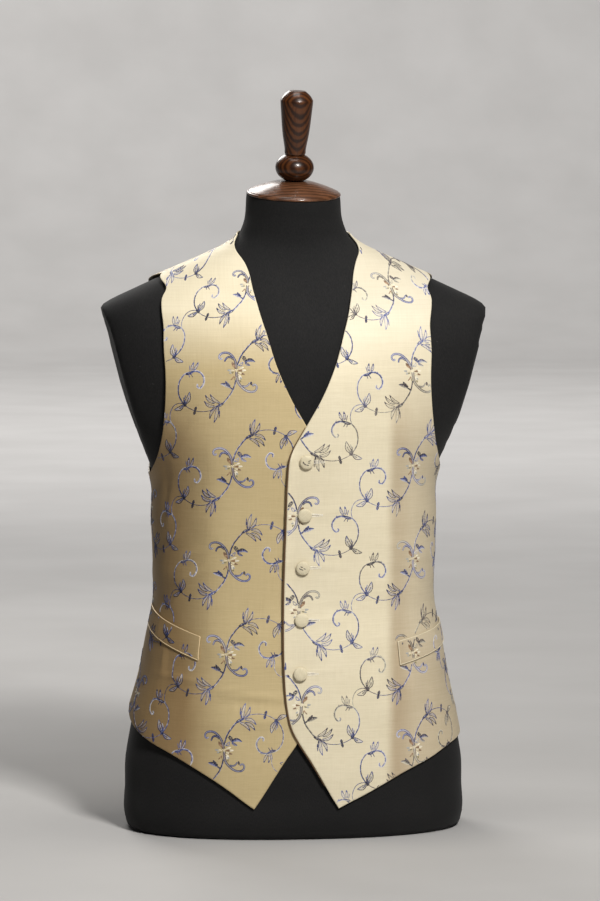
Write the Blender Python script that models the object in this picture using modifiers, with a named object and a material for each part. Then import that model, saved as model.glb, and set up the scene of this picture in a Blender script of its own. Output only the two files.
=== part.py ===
"""An embroidered silk waistcoat, buttoned on a limbless dress form with a turned wooden neck cap.

Metres, +Z up, the front faces -Y, and the origin is the middle of the form's flat base.
Every piece of cloth lies on one surface, the form's, lifted by the ease that the cloth has there.
A place on that surface is an angle and a height: the angle is 0 at the centre front and grows
towards +X, so it is 90 degrees at the +X side and 180 at the centre back.
"""

import math

import bmesh
import bpy
import numpy as np
from mathutils import Euler, Vector

MM = 0.001
DEG = math.pi / 180

# Driving dimensions
CLOTH = 2.0 * MM  # a front: silk, canvas and lining together
BACK_CLOTH = 1.6 * MM
WELT_CLOTH = 1.5 * MM
SEAM = 0.3 * MM  # between two pieces that meet
SEAM_ANGLE = 0.1 * DEG  # half of the same at a seam that runs up the body
LAP = 20.0 * MM  # each front passes the closing line by this much
LAP_RAMP = 45.0 * MM  # over which the outer front rises over the inner one
LAP_TOP = (485.0 * MM, 545.0 * MM)  # between these heights the rise dies out
CLOSING_LEAN = 0.0295  # the buttoned line leans: at the top it lies further towards +X
CLOSING_UPRIGHT = 345.0 * MM  # the height at which it crosses the middle
SHOULDER_ANGLE = 86.0 * DEG
BUTTON_RADIUS = 7.9 * MM
BUTTON_DOME = 3.4 * MM
BUTTON_RIM = 1.2 * MM
SHANK_RADIUS = 2.6 * MM
SHANK_LENGTH = 1.2 * MM
BUTTON_TOP = 428.0 * MM
BUTTON_PITCH = 60.0 * MM
BUTTON_COUNT = 5
# A welt's inner end, its upper edge there and how far it rises to its outer end. The waistcoat
# hangs a little askew, so the welt at -X, side -1, is the higher and the steeper one
WELTS = {1: (48.5 * DEG, 220.5 * MM, 17.0 * MM), -1: (51.5 * DEG, 228.0 * MM, 29.0 * MM)}
WELT_OUTER = 87.0 * DEG
WELT_HEIGHT = 26.0 * MM
WELT_TAPER = 5.0 * MM  # how much less high it is at its outer end
NECK_TOP = 726.0 * MM
NECK_LEAN_FROM = 692.0 * MM  # above this the neck leans into the cap's slope
CAP_LEAN = 9.0 * DEG  # towards the front
CAP_SIDE_LEAN = 1.0 * DEG  # towards +X
CAP_RADIUS = 53.8 * MM
CAP_MIDDLE = -5.0 * MM  # the middle of the neck's top, along Y
CAP_EDGE = 3.4 * MM
CAP_RISE = 13.4 * MM
BALL_RADIUS = 22.0 * MM
BALL_HEIGHT = 29.0 * MM
BALL_CUT = 2.5 * MM
HANDLE_HEIGHT = 73.0 * MM
HANDLE_LOW = 12.0 * MM
HANDLE_WIDE = 18.6 * MM
HANDLE_TOP = 10.5 * MM
HANDLE_CHAMFER = 9.5 * MM
FORM_SEGMENTS = 40
FORM_LEVELS = (
    0, 3, 10, 40, 70, 100, 128, 160, 195, 230, 264, 300, 340, 380, 409, 424, 440, 462, 490,
    520, 550, 575, 592, 604, 616, 628, 640, 652, 664, 676, 690, 708, 726,
)
CROWDING = 1.35  # rows of a panel lie closer towards the shoulder
TOP_REACH = 3  # a higher power keeps a panel's rows straight until near its top
SILK = (0.66, 0.58, 0.42)
SATIN = (0.55, 0.44, 0.24)
BLACK_JERSEY = (0.012, 0.012, 0.012)
WALNUT = (0.10, 0.045, 0.022)
WALNUT_DARK = (0.06, 0.026, 0.012)

# The form: half_width at the sides, front and back depth, and how square the ring is
FORM_COLUMNS = ("height", "half_width", "front", "back", "square")
FORM = (
    (0.0, 187.5, 113.0, 119.0, 2.35),
    (3.0, 191.5, 117.5, 123.5, 2.35),
    (10.0, 194.0, 120.5, 126.5, 2.35),
    (50.0, 194.5, 121.5, 127.5, 2.35),
    (78.0, 194.0, 121.5, 127.5, 2.35),
    (100.0, 190.5, 120.5, 127.0, 2.35),
    (128.0, 185.0, 119.5, 126.5, 2.35),
    (172.0, 174.5, 116.5, 122.0, 2.35),
    (218.0, 165.0, 112.0, 112.0, 2.35),
    (264.0, 156.0, 107.5, 99.0, 2.35),
    (300.0, 155.0, 106.0, 93.0, 2.35),
    (356.0, 158.0, 109.0, 95.0, 2.35),
    (409.0, 162.0, 113.5, 101.0, 2.3),
    (440.0, 178.0, 115.5, 105.0, 2.2),
    (480.0, 205.0, 117.0, 109.0, 2.15),
    (530.0, 228.0, 115.0, 111.0, 2.15),
    (570.0, 234.0, 105.0, 110.0, 2.15),
    (592.0, 229.0, 94.0, 106.0, 2.15),
    (604.0, 214.0, 86.0, 102.0, 2.15),
    (620.0, 181.0, 75.0, 95.0, 2.15),
    (640.0, 137.0, 62.0, 85.0, 2.15),
    (656.0, 101.0, 53.0, 75.0, 2.1),
    (666.0, 80.0, 50.0, 67.0, 2.05),
    (676.0, 66.0, 50.0, 60.0, 2.0),
    (690.0, 58.5, 52.0, 54.0, 2.0),
    (726.0, 53.5, 58.5, 48.5, 2.0),
)
# The flat arm ends slant in from the shoulder tip to the underarm
ARM_END_COLUMNS = ("height", "half_width")
ARM_END = (
    (415.0, 163.5),
    (445.0, 174.5),
    (480.0, 187.0),
    (510.0, 196.0),
    (540.0, 203.5),
    (570.0, 211.0),
    (600.0, 221.0),
    (620.0, 230.0),
)

# Room between the form and the inside of the cloth
EASE_COLUMNS = ("height", "ease")
EASE = (
    (0.0, 2.0),
    (128.0, 2.0),
    (172.0, 2.5),
    (218.0, 4.0),
    (264.0, 3.8),
    (300.0, 5.0),
    (356.0, 4.0),
    (395.0, 3.0),
    (440.0, 3.2),
    (480.0, 2.6),
    (550.0, 2.9),
    (598.0, 4.0),
    (622.0, 3.0),
    (645.0, 1.9),
    (665.0, 1.6),
    (726.0, 2.0),
)

# A front's edge from its point up to the shoulder, as distance from the closing line and height
FRONT_EDGE = (
    (47.5, 36.0),
    (41.0, 46.0),
    (28.5, 67.0),
    (15.0, 89.0),
    (0.5, 111.0),
    (-8.0, 127.0),
    (-13.0, 146.0),
    (-16.5, 175.0),
    (-19.0, 221.0),
    (-20.0, 290.0),
    (-20.0, 358.0),
    (-20.0, 408.0),
    (-17.0, 436.0),
    (-0.5, 467.0),
    (16.5, 497.0),
    (32.0, 532.0),
    (44.5, 573.0),
    (55.0, 613.0),
    (63.0, 648.0),
)
NECK_POINT = 680.0  # the height where neckline and shoulder seam meet
SEAM_POINTS = 6  # of a side table, as far as the underarm
SEAM_SHARE = 0.52  # of a panel's side that is side seam
SHOULDER_SHARE = 7 / 13  # of a back's top that is shoulder seam
# Its hem, as distance from the middle, height and tilt: how much higher it hangs at -X than here,
# and lower at +X
FRONT_HEM = (
    (172.0, 105.3, 5.2),
    (147.0, 92.0, 4.0),
    (116.0, 76.3, 1.4),
    (91.0, 62.0, -0.3),
    (66.0, 46.1, -3.4),
)
SIDE_LIFT = {1: -7.0, -1: 19.0}  # of the hem at each side seam, which dies out going up
LIFT_FADE = (118.0, 230.0)
# The side seam and the armhole, upwards, as angle and height, and how much further round the
# armhole lies at -X
FRONT_SIDE = (
    (90.5, 118.0, 0.0),
    (91.9, 132.0, 0.0),
    (92.0, 150.0, 0.0),
    (92.0, 210.0, 0.0),
    (92.0, 300.0, 0.0),
    (92.0, 409.0, 0.0),
    (82.0, 413.0, 0.0),
    (73.0, 426.0, 0.2),
    (66.5, 444.0, 0.9),
    (61.0, 472.0, 1.5),
    (57.8, 510.0, 2.0),
    (58.0, 541.0, 2.1),
    (60.5, 579.0, 2.3),
    (67.0, 605.0, 1.3),
    (72.7, 620.0, 0.3),
    (86.0, 634.0, 0.0),
)
BACK_SIDE = (
    (93.5, 118.0),
    (92.1, 132.0),
    (92.0, 150.0),
    (92.0, 210.0),
    (92.0, 300.0),
    (92.0, 409.0),
    (98.0, 413.0),
    (105.0, 425.0),
    (111.0, 444.0),
    (117.0, 472.0),
    (120.5, 510.0),
    (121.0, 545.0),
    (119.0, 580.0),
    (115.5, 606.0),
    (105.0, 621.5),
    (86.0, 634.0),
)
BACK_HEM = ((110.0, 118.0), (145.0, 118.0))
BACK_HEM_MIDDLE = 118.0
BACK_NECK = ((95.0, 682.0), (130.0, 685.0))
BACK_NECK_MIDDLE = 686.0

# The largest folds, as soft ridges: across, height, half length and half width, lift, and turn
# from level
FOLDS = (
    (-58.0, 136.0, 46.0, 12.0, 2.2, 4.0),
    (-80.0, 112.0, 20.0, 15.0, 1.8, 84.0),
    (118.0, 168.0, 30.0, 13.0, 2.0, 82.0),
    (86.0, 150.0, 26.0, 14.0, 1.4, 97.0),
    (-132.0, 300.0, 30.0, 13.0, 2.0, 24.0),
    (130.0, 318.0, 30.0, 14.0, 1.8, -20.0),
    (-112.0, 262.0, 34.0, 14.0, 1.5, 32.0),
    (108.0, 276.0, 32.0, 14.0, 1.5, -28.0),
    (120.0, 452.0, 34.0, 15.0, 1.6, -42.0),
    (-122.0, 448.0, 34.0, 15.0, 1.6, 44.0),
    (-186.0, 130.0, 40.0, 42.0, 3.4, 90.0),
)
BACK_FOLDS = (
    (-70.0, 300.0, 52.0, 14.0, 2.0, 6.0),
    (74.0, 322.0, 48.0, 14.0, 2.2, -8.0),
    (-96.0, 272.0, 34.0, 13.0, 1.7, -16.0),
    (100.0, 284.0, 34.0, 13.0, 1.6, 14.0),
    (-60.0, 500.0, 18.0, 16.0, 1.4, 78.0),
    (66.0, 512.0, 18.0, 16.0, 1.4, 100.0),
    (-186.0, 130.0, 40.0, 42.0, 3.4, 90.0),
)


def column(table, names, name):
    """One named column of a table."""
    return np.array([row[names.index(name)] for row in table], dtype=float)


def smooth(knots, values, at):
    """A smooth curve through the values at the knots, read at the places given."""
    at = np.clip(at, knots[0], knots[-1])
    slopes = np.gradient(values, knots)
    i = np.clip(np.searchsorted(knots, at) - 1, 0, len(knots) - 2)
    width = knots[i + 1] - knots[i]
    t = (at - knots[i]) / width
    rise = values[i] * (1 + 2 * t) * (1 - t) ** 2 + values[i + 1] * t * t * (3 - 2 * t)
    lean = slopes[i] * t * (1 - t) ** 2 - slopes[i + 1] * t * t * (1 - t)
    return rise + lean * width


FORM_HEIGHTS = column(FORM, FORM_COLUMNS, "height") * MM


def form_size(name, height):
    """One of the form's measures at these heights, in metres except square."""
    scale = 1.0 if name == "square" else MM
    return smooth(FORM_HEIGHTS, column(FORM, FORM_COLUMNS, name) * scale, height)


def ease_at(height):
    """The cloth's ease at these heights."""
    heights = column(EASE, EASE_COLUMNS, "height") * MM
    return smooth(heights, column(EASE, EASE_COLUMNS, "ease") * MM, height)


def on_form(angle, height):
    """The form's own surface at these angles and heights, as an array of points."""
    across = np.abs(np.sin(angle))
    along = np.abs(np.cos(angle))
    depth = np.where(np.cos(angle) > 0, form_size("front", height), form_size("back", height))
    square = form_size("square", height)
    wide = form_size("half_width", height)
    reach = ((across / wide) ** square + (along / depth) ** square) ** (-1 / square)
    return np.stack([reach * np.sin(angle), -reach * np.cos(angle), height + 0 * angle], -1)


def form_normal(angle, height):
    """The outward direction of the form's surface."""
    step = 1e-4
    round_it = on_form(angle + step, height) - on_form(angle - step, height)
    up_it = on_form(angle, height + step) - on_form(angle, height - step)
    normal = np.cross(round_it, up_it)
    return normal / np.linalg.norm(normal, axis=-1, keepdims=True)


def angle_at(across, height):
    """The angle on the front at which the surface is this far to the side."""
    wide = form_size("half_width", height)
    square = form_size("square", height)
    share = np.clip(np.abs(across) / wide, 0, 1)
    deep = form_size("front", height) * (1 - share**square) ** (1 / square)
    return np.arctan2(across, deep)


def closing_line(height):
    """How far to the side of the middle the buttoned line lies."""
    lean = (height - CLOSING_UPRIGHT) * CLOSING_LEAN
    return np.minimum(lean, (BUTTON_TOP - CLOSING_UPRIGHT) * CLOSING_LEAN)


def ease_step(value, low, high):
    """0 below low, 1 above high and a smooth rise between them."""
    t = np.clip((value - low) / (high - low), 0, 1)
    return t * t * (3 - 2 * t)


def fold_lift(angle, height):
    """How far the folds stand out at these places."""
    point = on_form(angle, height)
    total = np.zeros(point.shape[:-1])
    for folds, here in ((FOLDS, np.cos(angle) > 0), (BACK_FOLDS, np.cos(angle) <= 0)):
        for across, level, length, width, lift, turn in folds:
            aside = point[..., 0] - across * MM
            above = point[..., 2] - level * MM
            along = aside * math.cos(turn * DEG) + above * math.sin(turn * DEG)
            over = above * math.cos(turn * DEG) - aside * math.sin(turn * DEG)
            soft = np.exp(-((along / (length * MM)) ** 2) - (over / (width * MM)) ** 2)
            total += np.where(here, lift * MM * soft, 0)
    return total


def outer_rise(angle, height):
    """How far the outer front, the one at +X, rises to pass over the inner one."""
    aside = on_form(angle, height)[..., 0] - closing_line(height)
    near = 1 - ease_step(aside, LAP + 4 * MM, LAP + 4 * MM + LAP_RAMP)
    return (CLOTH + SEAM + 0.2 * MM) * near * (1 - ease_step(height, *LAP_TOP))


def on_cloth(angle, height, thickness, side, over=0.0):
    """Points on the outside of the cloth, or this far over it. Side is 1 at +X and -1 at -X."""
    lift = ease_at(height) + thickness + fold_lift(angle, height) + over
    if side > 0:
        lift = lift + np.where(np.cos(angle) > 0, outer_rise(angle, height), 0)
    return on_form(angle, height) + form_normal(angle, height) * lift[..., None]


def run(points, share):
    """A smooth curve through angle and height points, read at shares of its real length."""
    points = np.array(points)
    knots = np.arange(len(points), dtype=float)
    fine = np.linspace(0, knots[-1], 20 * len(points))
    traced = np.stack([smooth(knots, points[:, i], fine) for i in (0, 1)], -1)
    steps = np.diff(on_form(traced[:, 0], traced[:, 1]), axis=0)
    length = np.concatenate([[0], np.cumsum(np.linalg.norm(steps, axis=1))])
    at = np.asarray(share) * length[-1]
    return np.stack([np.interp(at, length, traced[:, i]) for i in (0, 1)], -1)


def border(runs, share):
    """Runs that meet at corners, each with the share of the border where it ends."""
    share = np.asarray(share, dtype=float)
    found = np.zeros(share.shape + (2,))
    begin = 0.0
    for points, end in runs:
        here = (share >= begin) & (share <= end)
        found[here] = run(points, (share[here] - begin) / (end - begin))
        begin = end
    return found


def patch(bottom, top, left, right, u, v):
    """Rows from the left border to the right one, bent to the bottom and top borders near those."""
    u, v = u[..., None], v[..., None]
    rows = (1 - u) * border(left, v[..., 0]) + u * border(right, v[..., 0])
    for runs, near in ((bottom, 1 - v), (top, v**TOP_REACH)):
        chord = (1 - u) * np.array(runs[0][0][0]) + u * np.array(runs[-1][0][-1])
        rows = rows + near * (border(runs, u[..., 0]) - chord)
    return rows


def side_runs(points):
    """The side seam and the armhole, which meet in a corner at the underarm."""
    return [(points[:SEAM_POINTS], SEAM_SHARE), (points[SEAM_POINTS - 1 :], 1.0)]


def hung(height, side):
    """A height on the side seam in metres, with the lift that it has near the hem."""
    near = 1 - float(ease_step(height, *LIFT_FADE))
    return (height + SIDE_LIFT[side] * near) * MM


def front_borders(side):
    """A front's hem, shoulder seam, side and edge, as angle and height."""
    edge = []
    for across, height in FRONT_EDGE:
        level = height * MM
        aside = across * MM + side * closing_line(level)
        edge.append((float(angle_at(aside, level)), level))
    edge.append((SHOULDER_ANGLE - SEAM_ANGLE, NECK_POINT * MM))
    sides = []
    for angle, height, further in FRONT_SIDE:
        turn = angle + (further if side < 0 else 0)
        sides.append((turn * DEG - SEAM_ANGLE, hung(height, side)))
    hem = [sides[0]]
    for across, height, tilt in FRONT_HEM:
        level = (height - side * tilt) * MM
        hem.append((float(angle_at(across * MM, level)), level))
    hem.append(edge[0])
    shoulder = [sides[-1], edge[-1]]
    return [(hem, 1.0)], [(shoulder, 1.0)], side_runs(sides), [(edge, 1.0)]


def back_borders(side):
    """A back's hem, shoulder seam and neckline, side and middle seam, as angle and height."""
    sides = [(angle * DEG + SEAM_ANGLE, hung(height, side)) for angle, height in BACK_SIDE]
    middle = math.pi - SEAM_ANGLE
    hem = [sides[0]]
    for angle, height in BACK_HEM:
        near = math.sin(angle * DEG) ** 2
        hem.append((angle * DEG, (height + SIDE_LIFT[side] * near) * MM))
    hem.append((middle, BACK_HEM_MIDDLE * MM))
    shoulder = [sides[-1], (sides[-1][0], NECK_POINT * MM)]
    neck = [shoulder[-1]] + [(angle * DEG, height * MM) for angle, height in BACK_NECK]
    neck.append((middle, BACK_NECK_MIDDLE * MM))
    top = [(shoulder, SHOULDER_SHARE), (neck, 1.0)]
    return [(hem, 1.0)], top, side_runs(sides), [([hem[-1], neck[-1]], 1.0)]


def front_place(side, u, v):
    """Angle and height on a front. Side is 1 at +X, and u grows towards +X."""
    u = u if side < 0 else 1 - u
    place = patch(*front_borders(side), u, v)
    return side * place[..., 0], place[..., 1]


def back_place(side, u, v):
    """Angle and height on a back. Side is 1 at +X, and u grows as the angle does."""
    u = u if side > 0 else 1 - u
    place = patch(*back_borders(side), u, v)
    return side * place[..., 0], place[..., 1]


def welt_place(side, u, v):
    """Angle and height on a pocket welt, a strip that rises towards the side."""
    u = u if side > 0 else 1 - u
    inner, top, rise = WELTS[side]
    angle = inner + (WELT_OUTER - inner) * u
    return side * angle, top + rise * u - (WELT_HEIGHT - WELT_TAPER * u) * (1 - v)


def finish(obj, colour, roughness, metallic=0.0):
    """Gives an object its own material and puts it in the waistcoat's collection."""
    material = bpy.data.materials.new(obj.name + "_finish")
    material.use_nodes = True
    shader = material.node_tree.nodes["Principled BSDF"]
    shader.inputs["Base Color"].default_value = (*colour, 1)
    shader.inputs["Roughness"].default_value = roughness
    shader.inputs["Metallic"].default_value = metallic
    material.diffuse_color = (*colour, 1)
    obj.data.materials.append(material)
    for other in list(obj.users_collection):
        other.objects.unlink(obj)
    bpy.data.collections["waistcoat_on_form"].objects.link(obj)
    return obj


def cloth_piece(name, place, side, columns, rows, thickness, over, colour, roughness):
    """A piece of cloth: a flat grid, drawn out into a slab and then laid on the body."""
    mesh = bpy.data.meshes.new(name)
    grid = bmesh.new()
    bmesh.ops.create_grid(grid, x_segments=columns, y_segments=rows, size=1.0)
    drawn = bmesh.ops.extrude_face_region(grid, geom=grid.faces[:])
    for corner in drawn["geom"]:
        if isinstance(corner, bmesh.types.BMVert):
            corner.co.z = 1.0
    flat = np.array([vertex.co[:] for vertex in grid.verts])
    shares = flat[:, :2] / 2 + 0.5
    upward = 1 - (1 - shares[:, 1]) ** CROWDING
    angle, height = place(side, shares[:, 0], upward)
    below = CLOTH + SEAM if over else 0.0
    points = on_cloth(angle, height, thickness * flat[:, 2], side, below + over)
    for vertex, point in zip(grid.verts, points):
        vertex.co = point
    bmesh.ops.recalc_face_normals(grid, faces=grid.faces[:])
    grid.to_mesh(mesh)
    grid.free()
    mesh.shade_smooth()
    obj = bpy.data.objects.new(name, mesh)
    bpy.context.scene.collection.objects.link(obj)
    return finish(obj, colour, roughness)


def turned(name, profile, steps, colour, roughness):
    """A turned piece: its profile, top to bottom as radius and height, spun round Z."""
    mesh = bpy.data.meshes.new(name)
    points = [(radius, 0.0, height) for radius, height in profile]
    mesh.from_pydata(points, [(i, i + 1) for i in range(len(points) - 1)], [])
    obj = bpy.data.objects.new(name, mesh)
    bpy.context.scene.collection.objects.link(obj)
    screw = obj.modifiers.new("turn", "SCREW")
    screw.steps = steps
    screw.render_steps = steps
    screw.use_merge_vertices = True
    screw.merge_threshold = 1e-6
    screw.use_smooth_shade = True
    return finish(obj, colour, roughness)


def form_body():
    """The padded form: rings at the table's heights, flat at the arm ends and closed at both ends."""
    heights = np.array(FORM_LEVELS) * MM
    angles = np.linspace(0, 2 * math.pi, FORM_SEGMENTS, endpoint=False)
    arm_levels = column(ARM_END, ARM_END_COLUMNS, "height") * MM
    arm_widths = column(ARM_END, ARM_END_COLUMNS, "half_width") * MM
    shell = bmesh.new()
    rings = []
    for height in heights:
        points = on_form(angles, np.full_like(angles, height))
        if arm_levels[0] < height < arm_levels[-1]:
            limit = float(smooth(arm_levels, arm_widths, np.array(height)))
            points[:, 0] = np.clip(points[:, 0], -limit, limit)
        lean = float(ease_step(height, NECK_LEAN_FROM, NECK_TOP))
        points[:, 2] += points[:, 1] * math.tan(CAP_LEAN) * lean
        points[:, 2] -= points[:, 0] * math.tan(CAP_SIDE_LEAN) * lean
        rings.append([shell.verts.new(point) for point in points])
    for low, high in zip(rings, rings[1:]):
        for i in range(FORM_SEGMENTS):
            j = (i + 1) % FORM_SEGMENTS
            shell.faces.new((low[i], low[j], high[j], high[i]))
    shell.faces.new(reversed(rings[0]))
    shell.faces.new(rings[-1])
    mesh = bpy.data.meshes.new("form_body")
    shell.to_mesh(mesh)
    shell.free()
    mesh.shade_smooth()
    obj = bpy.data.objects.new("form_body", mesh)
    bpy.context.scene.collection.objects.link(obj)
    return finish(obj, BLACK_JERSEY, 0.85)


def arc(radius_from, height_from, radius_to, height_to, bulge, count):
    """Profile points between two places, bowed outwards by bulge, without the first."""
    found = []
    for i in range(1, count + 1):
        t = i / count
        bow = bulge * 4 * t * (1 - t)
        radius = radius_from + (radius_to - radius_from) * t + bow
        found.append((radius, height_from + (height_to - height_from) * t))
    return found


def ball_profile(radius, low, high, count):
    """A turned ball cut flat below and above, top to bottom."""
    middle = (low + high) / 2
    cut = (high - low) / 2
    top = math.asin(cut / (cut + BALL_CUT))
    found = [(0.0, high)]
    for i in range(count + 1):
        tilt = top - 2 * top * i / count
        found.append((radius * math.cos(tilt), middle + (cut + BALL_CUT) * math.sin(tilt)))
    return found + [(0.0, low)]


def neck_fittings():
    """The turned neck cap, the ball and the handle, in line on the leaning neck."""
    lean = Euler((CAP_LEAN, CAP_SIDE_LEAN, 0.0))
    up = lean.to_matrix() @ Vector((0.0, 0.0, 1.0))
    seat = Vector((0.0, CAP_MIDDLE, NECK_TOP + CAP_MIDDLE * math.tan(CAP_LEAN))) + up * SEAM
    cap_top = CAP_EDGE + CAP_RISE
    cap = [(0.0, cap_top), (18 * MM, cap_top - 1 * MM), (36 * MM, cap_top - 6 * MM)]
    cap += [(50 * MM, CAP_EDGE + 1.6 * MM), (CAP_RADIUS - 1 * MM, CAP_EDGE)]
    cap += [(CAP_RADIUS, CAP_EDGE - 0.8 * MM), (CAP_RADIUS, 0.8 * MM)]
    cap += [(CAP_RADIUS - 0.8 * MM, 0.0), (0.0, 0.0)]
    ball_low = cap_top + SEAM
    ball_high = ball_low + BALL_HEIGHT
    ball = ball_profile(BALL_RADIUS, ball_low, ball_high, 7)
    low = ball_high + SEAM
    high = low + HANDLE_HEIGHT
    shoulder = high - HANDLE_CHAMFER
    handle = [(0.0, high), (HANDLE_TOP - 0.8 * MM, high), (HANDLE_TOP, high - 0.8 * MM)]
    handle += arc(HANDLE_TOP, high - 0.8 * MM, HANDLE_WIDE, shoulder, 0.8 * MM, 2)
    handle += arc(HANDLE_WIDE, shoulder, HANDLE_LOW, low + 1 * MM, 0.6 * MM, 4)
    handle += [(HANDLE_LOW - 1 * MM, low), (0.0, low)]
    pieces = (
        ("neck_cap", cap, 32, WALNUT),
        ("finial_ball", ball, 22, WALNUT),
        ("finial_handle", handle, 20, WALNUT_DARK),
    )
    for name, profile, steps, colour in pieces:
        obj = turned(name, profile, steps, colour, 0.35)
        obj.location = seat
        obj.rotation_euler = lean


def buttons():
    """Five covered buttons on their shanks, square to the outer front."""
    rim = SHANK_LENGTH + BUTTON_RIM
    profile = [(0.0, SHANK_LENGTH + BUTTON_DOME)]
    for i in range(1, 4):
        turn = i * math.pi / 6
        radius = BUTTON_RADIUS * math.sin(turn)
        profile.append((radius, rim + (BUTTON_DOME - BUTTON_RIM) * math.cos(turn)))
    profile += [(BUTTON_RADIUS - 0.9 * MM, SHANK_LENGTH), (SHANK_RADIUS, SHANK_LENGTH)]
    profile += [(SHANK_RADIUS, 0.0), (0.0, 0.0)]
    for i in range(BUTTON_COUNT):
        height = np.array(BUTTON_TOP - i * BUTTON_PITCH)
        angle = angle_at(closing_line(height), height)
        point = on_cloth(angle, height, CLOTH, 1, SEAM)
        normal = form_normal(angle, height)
        obj = turned("button_%d" % (i + 1), profile, 14, SILK, 0.45)
        obj.location = point
        obj.rotation_euler = Vector(normal).to_track_quat("Z", "Y").to_euler()


def build():
    """Makes every piece."""
    for obj in list(bpy.data.objects):
        bpy.data.objects.remove(obj)
    group = bpy.data.collections.new("waistcoat_on_form")
    bpy.context.scene.collection.children.link(group)
    form_body()
    neck_fittings()
    for side, name in ((1, "left"), (-1, "right")):
        cloth_piece("front_" + name, front_place, side, 13, 32, CLOTH, 0.0, SILK, 0.5)
        cloth_piece("back_" + name, back_place, side, 13, 26, BACK_CLOTH, 0.0, SATIN, 0.4)
        cloth_piece(
            "pocket_welt_" + name, welt_place, side, 12, 3, WELT_CLOTH, SEAM, SILK, 0.5
        )
    buttons()


build()
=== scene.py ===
# %% [markdown]
# # An embroidered silk waistcoat on a dress form
# This notebook dresses a finished, measured model. The model's solids give every size and
# place, and here they get their real surfaces: silk with its slubs, hand embroidery in
# coloured thread, covered buttons, a black jersey form and a turned, waxed neck cap.
# The first cell loads the solids as a fixed frame and prints their names.

import math

import bpy
import numpy as np
from mathutils import Euler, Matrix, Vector


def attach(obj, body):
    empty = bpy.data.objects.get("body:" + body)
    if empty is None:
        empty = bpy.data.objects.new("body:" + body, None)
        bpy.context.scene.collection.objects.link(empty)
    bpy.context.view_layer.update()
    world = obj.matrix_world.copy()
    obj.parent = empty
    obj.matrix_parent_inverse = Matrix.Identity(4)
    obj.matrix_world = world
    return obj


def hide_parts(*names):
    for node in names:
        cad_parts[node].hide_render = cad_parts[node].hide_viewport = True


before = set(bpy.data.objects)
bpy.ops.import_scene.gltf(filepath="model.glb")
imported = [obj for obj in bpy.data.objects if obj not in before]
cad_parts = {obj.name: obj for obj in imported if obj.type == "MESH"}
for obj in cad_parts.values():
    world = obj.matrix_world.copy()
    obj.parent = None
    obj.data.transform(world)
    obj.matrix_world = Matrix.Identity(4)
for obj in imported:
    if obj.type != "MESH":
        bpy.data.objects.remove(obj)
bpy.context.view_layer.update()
MM = 0.001
DEG = math.pi / 180
print("solids:", sorted(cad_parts))

# %% [markdown]
# ## The camera
# The picture was taken from in front, a little to the wearer's right and a little above
# the middle of the waistcoat, with a long lens. A long lens flattens the form, so the
# camera stands far off and has a narrow field of view.

# %% Camera
IMAGE_SIZE = (600, 901)
CAMERA_TURN = -6.0 * DEG
CAMERA_RISE = 4.0 * DEG
CAMERA_DISTANCE = 4.5
FOCAL_PIXELS = 3913.0
LOOK_AT = Vector((0.0078, 0.0, 0.432))

camera_data = bpy.data.cameras.new("camera")
camera_data.sensor_fit = "HORIZONTAL"
camera_data.sensor_width = 36.0
camera_data.lens = 36.0 * FOCAL_PIXELS / IMAGE_SIZE[0]
camera_data.clip_end = 60.0
camera = bpy.data.objects.new("camera", camera_data)
bpy.context.scene.collection.objects.link(camera)
flat_reach = CAMERA_DISTANCE * math.cos(CAMERA_RISE)
camera.location = LOOK_AT + Vector((
    flat_reach * math.sin(CAMERA_TURN),
    -flat_reach * math.cos(CAMERA_TURN),
    CAMERA_DISTANCE * math.sin(CAMERA_RISE),
))
camera.rotation_euler = (LOOK_AT - camera.location).to_track_quat("-Z", "Y").to_euler()
bpy.context.scene.camera = camera
bpy.context.scene.view_settings.view_transform = "Standard"
print("lens %.0f mm at %.1f m" % (camera_data.lens, CAMERA_DISTANCE))

# %% [markdown]
# ## One surface under everything
# All the cloth lies on one surface, the form's, lifted by its ease. The form is a stack of
# level rings, each as wide and as deep as its row of the table says, and a smooth curve
# runs through the rows. A place on the surface is an angle round the body and a height.
# Sculpting would be freer, but then panel, embroidery and pockets would not fit each other.

# %% Sizes of the cloth, buttons and fittings
CLOTH = 2.0 * MM  # a front: silk, canvas and lining together
BACK_CLOTH = 1.6 * MM
WELT_CLOTH = 1.5 * MM
SEAM = 0.3 * MM  # between two pieces that meet
SEAM_ANGLE = 0.1 * DEG  # half of the same at a seam that runs up the body
LAP = 20.0 * MM  # each front passes the closing line by this much
LAP_LEVEL = 4.0 * MM  # the outer front stays up for this much past the inner one
LAP_RAMP = 45.0 * MM  # and comes down over this much
LAP_ROOM = 0.2 * MM  # between the two, over the seam gap
LAP_TOP = (485.0 * MM, 545.0 * MM)  # between these heights the rise dies out
CLOSING_LEAN = 0.0295  # the buttoned line leans: at the top it lies further towards +X
CLOSING_UPRIGHT = 345.0 * MM  # the height at which it crosses the middle
SHOULDER_ANGLE = 86.0 * DEG
BUTTON_RADIUS = 7.9 * MM
BUTTON_DOME = 3.4 * MM
BUTTON_RIM = 1.2 * MM
SHANK_RADIUS = 2.6 * MM
SHANK_LENGTH = 1.2 * MM
BUTTON_TOP = 428.0 * MM
BUTTON_PITCH = 60.0 * MM
BUTTON_COUNT = 5
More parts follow.
